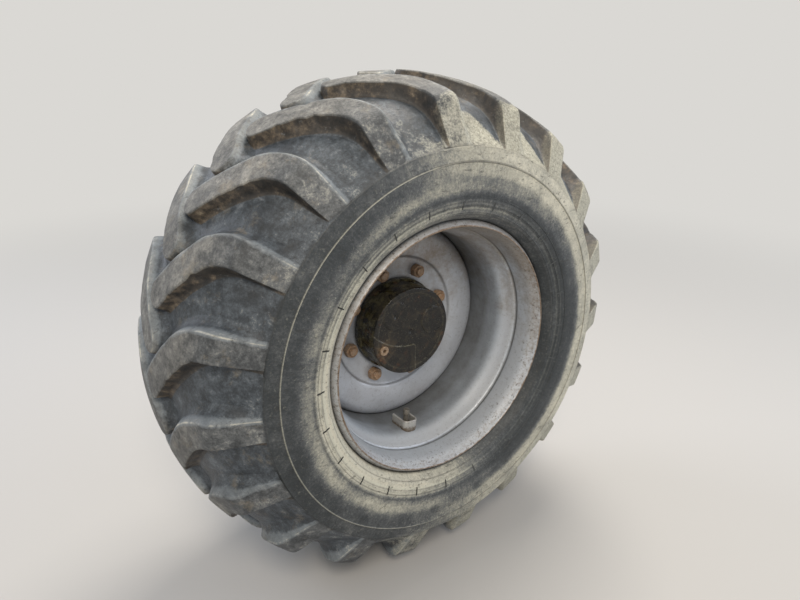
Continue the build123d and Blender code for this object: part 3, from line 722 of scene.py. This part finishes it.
def ripple(a, b, seed, waves=7, finest=2.0):
    """Smooth irregular surface of two parameters: a sum of sines with seeded directions and phases."""
    draw = np.random.default_rng(seed)
    total = np.zeros(np.broadcast(a, b).shape)
    for wave in range(waves):
        heading, phase = draw.uniform(0, 2 * np.pi, 2)
        pitch = draw.uniform(0.6, finest)
        total = total + np.sin(pitch * (a * math.cos(heading) + b * math.sin(heading)) + phase) / pitch
    return total / math.sqrt(waves)


def window(value, low, high, soft):
    """1 between low and high, falling to 0 over soft outside them."""
    return np.clip((value - low) / soft + 1, 0, 1) * np.clip((high - value) / soft + 1, 0, 1)


# Dust on the tyre and painted light, round it by angle from the front and up: 0 is clean dark rubber, partly
# painted shade, and 1 is cream clay, partly painted sunlight.
DUST_AND_SUN_BY_BEAD = [
    (0, 0.20), (30, 0.26), (60, 0.38), (90, 0.50), (120, 0.62), (150, 0.82), (180, 0.90), (215, 0.92),
    (245, 0.90), (268, 0.72), (285, 0.40), (310, 0.24),
]
DUST_AND_SUN_ON_WALL = [
    (0, 0.20), (30, 0.36), (60, 0.50), (90, 0.56), (112, 0.60), (132, 0.44), (150, 0.38), (175, 0.44),
    (205, 0.54), (232, 0.64), (255, 0.62), (275, 0.44), (300, 0.24), (330, 0.18),
]
DUST_AND_SUN_ON_BAND = [
    (0, 0.80), (35, 0.80), (62, 0.78), (84, 0.70), (104, 0.40), (130, 0.26), (200, 0.22), (240, 0.30),
    (262, 0.50), (285, 0.70), (320, 0.78),
]
DUST_AND_SUN_ON_SHOULDER = [
    (0, 0.80), (40, 0.86), (65, 0.88), (80, 0.75), (98, 0.42), (120, 0.26), (180, 0.22), (240, 0.26),
    (262, 0.50), (290, 0.72),
]
INBOARD_DUST = 0.42
LUGS_A_SIDE = 19
LUG_PITCH = 360 / LUGS_A_SIDE
LUG_START = 89.5
# Where clay, partly painted sunlight, begins on the shoulder, by the angle past a lug's centre line: on the
# lug's own top, at the foot of its front wall, which is left dark as painted shadow of the lug, and up the next
# lug's back slope; and how softly it begins.
CLAY_AND_SUN_FROM = ((0, 3.4, 4.4, 11, 16, 18.9), (200, 204, 250, 180, 188, 200))
CLAY_AND_SUN_FADE = ((0, 3.4, 4.4, 15, 16, 18.9), (48, 48, 26, 26, 48, 48))
# How far the bead's band of dust and painted sunlight reaches, by the radius.
BEAD_FADE = ((298, 304, 330, 334, 347, 351, 367, 374), (0.6, 1, 1, 0.86, 0.80, 0.62, 0.5, 0))
WALL_TOP = 456


def round_dust_and_sun(table, phi):
    """Dust and painted sunlight at an angle in degrees, from a table that closes on itself."""
    at, amount = np.array(table).T
    return np.interp(phi % 360, at, amount, period=360)


def tag_rubber(piece):
    """Writes how dusty each point of a rubber piece is, with painted sunlight counted as dust and painted shade
    as its lack, and whether it is on the sidewall. The dust is the mean of the tables' values, weighted by how
    far each one's band covers the point."""
    spots = np.empty(len(piece.data.vertices) * 3, np.float32)
    piece.data.vertices.foreach_get("co", spots)
    x, along, z = spots.reshape(-1, 3).T / MM
    radius, t = np.hypot(x, z), MIDDLE - along
    phi = np.degrees(np.arctan2(z, x))
    sidewall = window(radius, 0, WALL_TOP, 2)
    past_lug = (phi - LUG_START - 0.5 * LUG_PITCH * (t < 0)) % LUG_PITCH
    # The clay's inner edge is drawn where sunlight and the lugs' painted shadow meet on the shoulder.
    clay_and_sun_from = np.interp(past_lug, *CLAY_AND_SUN_FROM) + 5 * ripple(phi / 1.1, t / 9, 31, 6)
    on_shoulder = window(np.abs(t), clay_and_sun_from, 260, np.interp(past_lug, *CLAY_AND_SUN_FADE)) * (1 - sidewall)
    # Where the tables are high the tag stands for dust and painted sunlight, and where they are low for clean
    # rubber and painted shade.
    parts = (
        (np.interp(radius, *BEAD_FADE), DUST_AND_SUN_BY_BEAD), (window(radius, 372, 386, 12), DUST_AND_SUN_ON_WALL),
        (window(radius, 404, WALL_TOP, 20), DUST_AND_SUN_ON_BAND), (on_shoulder, DUST_AND_SUN_ON_SHOULDER),
    )
    total = sum(part for part, table in parts)
    dust = sum(part * round_dust_and_sun(table, phi) for part, table in parts) / np.maximum(total, 1)
    dust = np.where(t > 0, dust, INBOARD_DUST * np.minimum(total, 1)) * np.minimum(total * 1.5, 1)
    for name, value in (("side", sidewall), ("dust", dust)):
        piece.data.attributes.new(name, "FLOAT", "POINT").data.foreach_set("value", value.astype(np.float32))


def shift(node, value, *wobbles):
    """The value plus, for each wobble, its distance from 0.5 times its amount."""
    return weigh(node, value, *((node("SUBTRACT", wobble, 0.5), amount) for wobble, amount in wobbles))


# Tyre rubber is grey-black and dull, paler and browner with the dust that it holds, and the dust tag also
# carries painted sunlight and shade. On the tread, worn tops are paler than the floors, front walls are dark,
# partly torn rubber and partly painted shade, and the lugs' back slopes and crests carry a painted pale
# highlight; on the sidewall, some rings are darkened by painted shade in their grooves and others rubbed pale,
# and cream clay is smeared and scratched.
rubber, node, place = new_material("Dusty_tyre_rubber")
top, lit_slope, wall, side_mask, dust = (
    node("Attribute", attribute_name=tag).node.outputs["Fac"] for tag in ("top", "lit_slope", "wall", "side", "dust")
)
radius_here, along_here, height_here = measure(node, place)
broad = node("TexNoise", place, 1 / (90 * MM), 8, 0.66, Distortion=0.25)
medium = node("TexNoise", place, 1 / (24 * MM), 10, 0.74, Distortion=0.1)
grit = node("TexNoise", place, 1 / (5 * MM), 8, 0.80)
fine = node("TexNoise", place, 1 / (2.2 * MM), 5, 0.76)
lengthwise = node("Mapping", place, Scale=(1.0, 0.28, 1.0))
scuff = node("TexNoise", lengthwise, 1 / (13 * MM), 9, 0.80, Distortion=0.3)
crosswise = node("Mapping", place, Scale=(0.35, 1.6, 1.0))
scratch = node("TexNoise", crosswise, 1 / (7 * MM), 6, 0.70, Distortion=0.2)

# The tread.
mottled = shift(node, medium, (broad, 0.55), (grit, 0.55))
floor_tone = node("ValToRGB", mottled, stops=[
    (0.30, "#202428"), (0.45, "#363c42"), (0.60, "#525960"), (0.75, "#798086"), (0.88, "#999fa2"),
])
top_tone = node("ValToRGB", mottled, stops=[
    (0.26, "#383836"), (0.42, "#585856"), (0.58, "#7c7b77"), (0.74, "#9f9d96"), (0.88, "#bab7ad"),
])
outwards = off_middle(node, along_here)
crown = node("ValToRGB", outwards, stops=[(0.40, 1.0), (0.76, 0.30)])
on_top = node(
    "MULTIPLY", node("ValToRGB", shift(node, top, (mottled, 0.5)), stops=[(0.60, 0.0), (0.88, 1.0)]),
    node("ValToRGB", shift(node, crown, (mottled, 0.7)), stops=[(0.1, 0.12), (0.85, 1.0)]),
)
clay_spots = patches(node, place, 60 * MM, 10, 0.76, (0.56, 0.0), (0.66, 1.0))
nose = node("ValToRGB", outwards, stops=[(0.10, 0.9), (0.50, 0.1)])
# Front walls are painted dark: partly torn rubber and clay, partly painted shade on the steep side of each lug.
torn = node("ValToRGB", weigh(node, medium, (nose, 0.14)), stops=[
    (0.42, "#1b1a18"), (0.56, "#383129"), (0.68, "#6a5d4c"), (0.8, "#a09178"),
])
torn_and_shaded_wall = node("ValToRGB", shift(node, wall, (grit, 0.5)), stops=[(0.35, 0.0), (0.65, 1.0)])
# Painted highlight: the lugs' back slopes are paled blue-grey and their crests cream, as if lit from above.
slope_highlight = node("ValToRGB", shift(node, lit_slope, (broad, 1.6), (scuff, 1.2)), stops=[(0.55, 0.0), (1.0, 1.0)])
crest_highlight = node("ValToRGB", top, stops=[(0.90, 0.0), (0.945, 1.0), (0.985, 1.0), (0.997, 0.0)])
near_lit_slope = node("ValToRGB", lit_slope, stops=[(0.1, 0.0), (0.5, 1.0)])
by_broad = node("ValToRGB", broad, stops=[(0.47, 0.03), (0.60, 0.85)])
by_medium = node("ValToRGB", medium, stops=[(0.44, 0.2), (0.56, 1.0)])
wipe = node("ValToRGB", scuff, stops=[(0.60, 0.0), (0.68, 1.0)])
scored = node("ValToRGB", scratch, stops=[(0.58, 0.0), (0.64, 1.0)])
clay_tone = node("ValToRGB", grit, stops=[(0.34, "#78756a"), (0.5, "#aca997"), (0.66, "#d4d0bf")])
in_clay_and_sun = node("ValToRGB", shift(node, dust, (broad, 0.7), (medium, 1.1), (grit, 0.8)), stops=[
    (0.36, 0.0), (0.60, 0.62), (0.86, 0.95),
])
off_wall = node("ValToRGB", wall, stops=[(0.1, 0.88), (0.7, 0.25)])
tread_tone = lay_coats(
    node, floor_tone, (top_tone, on_top), ("#948873", clay_spots, 0.34), (torn, torn_and_shaded_wall, 0.9),
    ("#929ba1", slope_highlight, 0.45), ("#c9c5b6", crest_highlight, near_lit_slope, by_broad, by_medium), ("#a9adb0", wipe, 0.38),
    ("#1c1d1e", scored, 0.45), (clay_tone, in_clay_and_sun, off_wall),
)

# The sidewall. Its streaks run out from the axle, so their noise is laid out by angle and radius.
x_here = node("SeparateXYZ", place)
around = node("MULTIPLY", node("ARCTAN2", height_here, x_here), 0.4)
rolled_out = node("CombineXYZ", around, node("MULTIPLY", radius_here, 0.16))
streak = node("TexNoise", rolled_out, 1 / (5.5 * MM), 7, 0.74)
# The sidewall's tone follows the dust tag, so its cream is partly painted sunlight and its dark partly painted
# shade.
dusted_and_sunlit = shift(node, dust, (broad, 0.6), (medium, 0.5), (grit, 0.7), (streak, 0.3))
side_tone = node("ValToRGB", dusted_and_sunlit, stops=[
    (0.06, "#1b2023"), (0.24, "#2f3437"), (0.40, "#4d5052"), (0.54, "#747570"), (0.70, "#a09e91"),
    (0.92, "#c9c5b4"),
])
in_scale = node("MULTIPLY", radius_here, 2.0)
# Painted shade: thin dark lines in the grooves beside the rings, in the crevice by the rim's lip and under the
# shoulder, darker where the dust tag is high.
shaded_ring_grooves = node("ValToRGB", in_scale, stops=[
    (0.598, 1.0), (0.602, 0.8), (0.607, 0.0), (0.6265, 0.0), (0.629, 0.6), (0.632, 0.0), (0.6635, 0.0),
    (0.666, 0.9), (0.670, 0.0), (0.684, 0.0), (0.687, 0.7), (0.691, 0.0), (0.706, 0.0), (0.709, 0.6),
    (0.712, 0.0), (0.8535, 0.0), (0.856, 0.8), (0.859, 0.0), (0.908, 0.0), (0.912, 0.6),
])
bead_rings = node("ValToRGB", in_scale, stops=[
    (0.654, 0.0), (0.657, 0.9), (0.661, 0.9), (0.6635, 0.0), (0.677, 0.0), (0.680, 0.8), (0.684, 0.0),
])
wall_ring = node("ValToRGB", in_scale, stops=[(0.8478, 0.0), (0.8492, 0.9), (0.8518, 0.9), (0.8532, 0.0)])
# The moulding line's ring is pale with dust where the dust tag is low, and dark as painted shadow in its groove
# where it is high.
ring_dust_and_shadow_tone = node("ValToRGB", dust, stops=[(0.42, "#a9a89b"), (0.60, "#1f1f1c")])
shade_by_dust_and_sun = node("ValToRGB", dust, stops=[(0.2, 0.4), (0.6, 1.0)])
dusty_pale = node("ValToRGB", dust, stops=[(0.35, 0.08), (0.8, 1.0)])
worn_ring = node("ValToRGB", grit, stops=[(0.36, 0.35), (0.52, 1.0)])
crumbs = node("TexNoise", place, 1 / (7 * MM), 4, 0.72)
dark_crumbs = node("ValToRGB", crumbs, stops=[(0.34, 0.42), (0.40, 0.0)])
pale_crumbs = node("ValToRGB", crumbs, stops=[(0.60, 0.0), (0.66, 1.0)])
dusty_crumbs = node("ValToRGB", dust, stops=[(0.3, 0.1), (0.6, 0.4)])
side_tone = lay_coats(
    node, side_tone, ("#22221f", shaded_ring_grooves, shade_by_dust_and_sun, worn_ring),
    ("#c2c1b0", bead_rings, dusty_pale, worn_ring), (ring_dust_and_shadow_tone, wall_ring, worn_ring),
    ("#23241f", dark_crumbs), ("#c9c8ba", pale_crumbs, dusty_crumbs), ("#b1b0a2", wipe, 0.30),
    ("#2a2a27", scored, 0.55),
)
pits = node("ValToRGB", fine, stops=[(0.60, 0.0), (0.68, 1.0)])
colour = lay_coats(node, tread_tone, (side_tone, side_mask), ("#20201e", pits, 0.45))
dry = node("MULTIPLY", node("MAXIMUM", on_top, dust), 0.25)
finish_surface(
    node, colour, [
        (medium, 4.0, 0.35), (scuff, 1.6, 0.45), (grit, 0.9, 0.5), (fine, 0.5, 0.4),
        (node("MULTIPLY", scored, -1.0), 0.6, 0.5),
    ], Roughness=shift(node, node("ADD", dry, 0.48), (medium, 0.5)), IOR=1.52,
)

# The mould leaves the groove floors dented by about 1 mm, and the air swells the sidewall in waves.
DENT = 1.0
SWELL = 0.6
floor_t = np.concatenate([np.linspace(0, 150, 16)[:-1], np.linspace(150, SHOULDER_END, 16)])
half = np.concatenate([np.stack([floor_t, floor_radius(floor_t)], -1), SHOULDER_TO_BEAD])
front = np.stack([half[:, 1], MIDDLE - half[:, 0]], -1)
back = np.stack([half[1:-1, 1], MIDDLE + half[1:-1, 0]], -1)[::-1]
profile = np.concatenate([front, back])
x, along, z = turn(profile, CASING_COLUMNS).T
radius, phi, t = np.hypot(x, z), np.arctan2(z, x), MIDDLE - along
on_tread = window(radius, WALL_TOP + 1, 600, 8)
dent = (DENT * ripple(phi * 14, t / 26, 11) - 0.4) * on_tread
swell = SWELL * ripple(phi * 5, radius / 30, 12) * window(radius, 360, 420, 10)
scale = 1 + dent / radius
shell = np.stack([x * scale, along + np.sign(t) * np.maximum(swell, 0), z * scale], -1) * MM
none = np.zeros(len(shell))
casing = make_piece(
    "tyre_casing", shell, grid_faces(len(profile), CASING_COLUMNS, wrap_rows=True), rubber, "wheel",
    ["tyre"], 40, tags={"top": none, "lit_slope": none, "wall": none},
)
tag_rubber(casing)

# Lugs. Part of the same moulding: 19 bars a side, straight over the shoulder, then bent forwards to a
# round nose past the middle. Their tops are worn; the front wall is steep and torn, the back one ramps.
LUG_FLAT_RADIUS = 575.0
BEND_START, BEND_RADIUS, BEND_TURN = 200.0, 130.0, 45.0
NOSE_HALF = 5.0
TOP_WEAR = 0.8
# A worn lug's top is the same kind of table, a crown that falls off to the shoulder and its rounded end.
CROWN_RADIUS = 590.7
crown_t = np.linspace(0, 187, 24)
CROWN = np.concatenate([np.stack([crown_t, CROWN_RADIUS - 35.2 * (crown_t / 187) ** 2.1], -1), [
    (191, 553.2), (194.6, 550.4), (197.8, 547.0), (200.8, 542.6), (205, 535.0), (213, 519.6), (222, 501.6),
    (232, 481.2), (240, 464.6), (243.5, 457.6),
]])
# A lug's walls, from foot to middle: how far they stand off its spine, and the share of its height there.
BACK_OFFSETS = np.array([68, 60, 53, 46.5, 41, 36.5, 33.5, 31.4, 30, 28.8, 27.4, 25, 20, 13, 6, 0])
BACK_HEIGHTS = np.array([-0.14, 0.0, 0.06, 0.19, 0.39, 0.62, 0.80, 0.90, 0.955, 0.985, 0.997, 1, 1, 1, 1, 1])
FRONT_OFFSETS = np.array([47, 41, 37.5, 35.2, 33.6, 32.4, 31.4, 30.6, 30, 29.3, 28.2, 25, 20, 13, 6, 0])
FRONT_HEIGHTS = np.array([-0.14, 0.0, 0.05, 0.16, 0.34, 0.56, 0.76, 0.89, 0.95, 0.985, 0.998, 1, 1, 1, 1, 1])


def top_radius(t):
    """Radius of a worn lug's top, by interpolation on the distance from the tyre's middle."""
    return np.interp(np.abs(t), CROWN[:, 0], CROWN[:, 1])


def lug_spine():
    """Centre line of a lug laid flat, as (t, y, heading): a straight, an arc of 45 degrees and a straight."""
    over = np.array([243.5, 241, 238, 234, 230, 226, 222, 218, 214, 210, 206, 202.5])
    bend = np.radians(np.linspace(0, BEND_TURN, 16))
    arc_t = BEND_START - BEND_RADIUS * np.sin(bend)
    arc_y = -BEND_RADIUS * (1 - np.cos(bend))
    heading = math.radians(BEND_TURN)
    arm = np.linspace(0, (arc_t[-1] - NOSE_HALF) / math.cos(heading), 22)[1:]
    t = np.concatenate([over, arc_t, arc_t[-1] - arm * math.cos(heading)])
    y = np.concatenate([over * 0, arc_y, arc_y[-1] - arm * math.sin(heading)])
    return t, y, np.concatenate([over * 0, bend, arm * 0 + heading])


def lug_surface(seed):
    """Grid of a lug as (t, y, radius) and its tags: rows are offsets of the spine that shrink to it while the
    height climbs from the floor to the worn top, and each row runs down one side, round the nose and back.
    Ripples tear the brim, most of all at the front, wave the walls, and lump and chip the top."""
    t, y, heading = lug_spine()
    side_t, side_y = -np.sin(heading), np.cos(heading)
    cap = np.radians(np.linspace(0, 180, 19))[1:-1]
    cap_t = np.cos(cap) * side_t[-1] - np.sin(cap) * math.cos(heading[-1])
    cap_y = np.cos(cap) * side_y[-1] - np.sin(cap) * math.sin(heading[-1])
    spine_t = np.concatenate([t, np.full(len(cap), t[-1]), t[::-1]])
    spine_y = np.concatenate([y, np.full(len(cap), y[-1]), y[::-1]])
    away_t = np.concatenate([side_t, cap_t, -side_t[::-1]])
    away_y = np.concatenate([side_y, cap_y, -side_y[::-1]])
    share = np.concatenate([t * 0, soft_step(np.pi / 2 - cap, np.pi), t * 0 + 1])
    run = np.cumsum(np.hypot(np.gradient(spine_t + 29 * away_t), np.gradient(spine_y + 29 * away_y)))
    torn = np.clip(ripple(run / 11, run * 0, seed + 90, 9, 3.5) - 0.35, 0, 1.2)
    offset = BACK_OFFSETS[:, None] * (1 - share) + FRONT_OFFSETS[:, None] * share
    height = BACK_HEIGHTS[:, None] * (1 - share) + FRONT_HEIGHTS[:, None] * share
    brim = window(height, 0.5, 0.99, 0.3) * window(offset, 24, 40, 8)
    torn = torn * (1.5 + 6.5 * share * window(spine_t, -50, 150, 60))
    offset = offset + brim * (1.1 * ripple(run / 14, run * 0, seed + 40, 6, 3.0) - torn)
    grid_t = np.minimum(spine_t + away_t * offset, SHOULDER_END)
    grid_y = spine_y + away_y * offset
    low, high = floor_radius(grid_t), top_radius(grid_t)
    on_crown = window(np.abs(grid_t), 0, 185, 30)
    lumps = 1.2 * ripple(grid_t / 24, grid_y / 24, seed, 8) * on_crown
    chip = 2.6 * np.clip(ripple(grid_t / 8, grid_y / 8, seed + 7, 9) - 0.95, 0, 1) * on_crown
    wave = 0.65 * ripple(grid_t / 18, grid_y / 18, seed + 23, 7) * window(height, 0.1, 0.8, 0.2)
    radius = low + (high - low - TOP_WEAR) * height + (lumps - chip) * np.clip(height, 0, 1) + wave
    # Of these tags, the second marks each lug's back slope and crest, where the material paints a highlight.
    tags = {
        "top": np.clip(height, 0, 1) + 0 * offset,
        "lit_slope": window(height, 0.50, 0.97, 0.25) * (1 - 0.9 * share) * window(offset, 26, 40, 8),
        "wall": share * window(height, 0.06, 0.86, 0.1) * (0.75 + 0.25 * window(grid_t, -60, 110, 60)),
    }
    return grid_t, grid_y, np.minimum(radius, high), tags


def join_grids(grids):
    """One array of points and one of faces from open grids of points, each given with whether its faces are
    to be turned over."""
    points, faces, count = [], [], 0
    for grid, turned_over in grids:
        quads = grid_faces(*grid.shape[:2], wrap_columns=False) + count
        points.append(grid.reshape(-1, 3) * MM)
        faces.append(quads[:, ::-1] if turned_over else quads)
        count += grid[..., 0].size
    return np.concatenate(points), np.concatenate(faces)


lug_grids, lug_tags = [], {"top": [], "lit_slope": [], "wall": []}
for outboard in (1, -1):
    half_pitch = 0.5 * (outboard < 0)
    for number in range(LUGS_A_SIDE):
        flat_t, flat_y, radius, tags = lug_surface(number + 30 * (outboard < 0))
        phi = np.radians(LUG_START + LUG_PITCH * (number + half_pitch)) - flat_y / LUG_FLAT_RADIUS
        grid = np.stack([radius * np.cos(phi), MIDDLE - outboard * flat_t, radius * np.sin(phi)], -1)
        lug_grids.append((grid, outboard > 0))
        for tag, values in lug_tags.items():
            values.append(tags[tag].ravel())
points, faces = join_grids(lug_grids)
lugs = make_piece(
    "tyre_lugs", points, faces, rubber, "wheel", ["tyre"], 180, closed=False,
    tags={tag: np.concatenate(values) for tag, values in lug_tags.items()},
)
tag_rubber(lugs)

# Bead marks. Short fitting marks moulded across the rings by the bead, in the casing's own rubber.
# Rubbed rubber, half dull: grey where the dust tag is low, and nearly black where it is high, against clay and
# painted sunlight.
MARKS = 24
MARK_START = 12.8
MARK_SINK = 0.3
mark_rubber, node, place = new_material("Rubbed_dark_rubber")
dust = node("Attribute", attribute_name="dust").node.outputs["Fac"]
colour = node("ValToRGB", dust, stops=[(0.30, "#4a4d4e"), (0.66, "#1d1d1c")])
finish_surface(node, colour, [], Roughness=0.7)
mark_side = np.array([(326.5, 243.5), (327.2, 247.6), (337, 251.0), (345.6, 252.3), (346.4, 248.5)])
across = np.array([(-1.5, -2.5), (-1.2, 0.0), (1.2, 0.0), (1.5, -2.5)])
radius = mark_side[:, :1] + 0 * across[:, 0]
sideways = across[:, 0] + 0 * mark_side[:, :1]
off = mark_side[:, 1:] + across[:, 1] - MARK_SINK
mark_grids = []
for number in range(MARKS):
    turn_by = math.radians(MARK_START + number * 360 / MARKS)
    x = radius * math.cos(turn_by) - sideways * math.sin(turn_by)
    z = radius * math.sin(turn_by) + sideways * math.cos(turn_by)
    mark_grids += [(np.stack([x, MIDDLE - outboard * off, z], -1), outboard > 0) for outboard in (1, -1)]
points, faces = join_grids(mark_grids)
tag_rubber(make_piece("bead_marks", points, faces, mark_rubber, "wheel", (), 30, closed=False))

# Studio. A pale flat floor under the tyre that fades into the background's colour behind it, large soft lamps,
# and the camera where the photograph was taken from.
FLOOR_LEVEL = -0.5907
FLOOR_HALF = 30
FLOOR_TONE = "#bab8b5"
SKY_TONE = "#dfe6ee"
BACKGROUND = "#dad8d4"
CAMERA_PLACE = (-0.8998, -1.6249, 0.6783)
CAMERA_AHEAD = Vector((0.5399, 0.7570, -0.3681))
CAMERA_UP = Vector((0.2138, 0.2996, 0.9298))
CAMERA_LENS = 31.15
CAMERA_SENSOR = 36.0


def plainly_seen(node):
    """1 for rays from the camera, from a mirror or through glass: they see the background's own colour."""
    rays = node("LightPath").node.outputs
    through = node("MAXIMUM", rays["Is Glossy Ray"], rays["Is Transmission Ray"])
    return node("MAXIMUM", rays["Is Camera Ray"], through)


# A matt painted floor, grey and even, that fades into the background's colour from 1 to 4 m away.
floor_material, node, place = new_material("Pale_matt_floor")
x, y = node("SeparateXYZ", place).node.outputs[:2]
away = node("SQRT", weigh(node, (x, x), (y, y)))
far = node("ValToRGB", node("MULTIPLY", away, 0.125), stops=[(0.12, 0.0), (0.5, 1.0)])
far.node.color_ramp.interpolation = "EASE"
shader = node("BsdfPrincipled", FLOOR_TONE, Roughness=0.9)
glow = node("Emission", BACKGROUND, 1.0)
node("OutputMaterial", node("MixShader", node("MULTIPLY", far, plainly_seen(node)), shader, glow))
floor_mesh = bpy.data.meshes.new("studio_floor")
floor_mesh.from_pydata(
    [(x * FLOOR_HALF, y * FLOOR_HALF, FLOOR_LEVEL) for x, y in ((-1, -1), (1, -1), (1, 1), (-1, 1))], [],
    [(0, 1, 2, 3)],
)
floor_mesh.materials.append(floor_material)
floor = bpy.data.objects.new("studio_floor", floor_mesh)
bpy.context.scene.collection.objects.link(floor)

# The sky lights the wheel a little, and is plain to the camera.
world = bpy.data.worlds.new("studio_sky")
bpy.context.scene.world = world
world.use_nodes = True
world.node_tree.nodes.clear()
node = functools.partial(add_node, world.node_tree)
sky = node("Background", SKY_TONE, 0.5)
plain_sky = node("Background", BACKGROUND, 1.0)
node("OutputWorld", node("MixShader", plainly_seen(node), sky, plain_sky))


def lamp(name, place, size, power, colour):
    """A square area lamp at a place, aimed at the middle of the wheel."""
    light = bpy.data.lights.new(name, "AREA")
    light.shape, light.size, light.energy = "SQUARE", size, power
    light.color = linear(colour)[:3]
    holder = bpy.data.objects.new(name, light)
    bpy.context.scene.collection.objects.link(holder)
    holder.location = place
    holder.rotation_mode = "QUATERNION"
    holder.rotation_quaternion = (Vector((0.0, MIDDLE * MM, 0.0)) - Vector(place)).to_track_quat("-Z", "Y")


lamp("key_lamp", (-1.6, -3.2, 2.9), 1.3, 105, "#fff3e2")
lamp("top_lamp", (1.2, 0.3, 3.3), 1.8, 115, "#fff8ee")
lamp("fill_lamp", (3.0, -2.4, 0.9), 2.2, 40, "#e8f0ff")
lamp("back_lamp", (-1.8, 2.6, 2.0), 1.8, 60, "#eef3ff")

camera = bpy.data.objects.new("camera", bpy.data.cameras.new("camera"))
bpy.context.scene.collection.objects.link(camera)
bpy.context.scene.camera = camera
camera.data.lens = CAMERA_LENS
camera.data.sensor_width = CAMERA_SENSOR
side_way = CAMERA_AHEAD.cross(CAMERA_UP).normalized()
up_way = side_way.cross(CAMERA_AHEAD).normalized()
turned = Matrix((side_way, up_way, -CAMERA_AHEAD.normalized())).transposed()
camera.matrix_world = Matrix.Translation(CAMERA_PLACE) @ turned.to_4x4()
bpy.context.scene.view_settings.view_transform = "Standard"
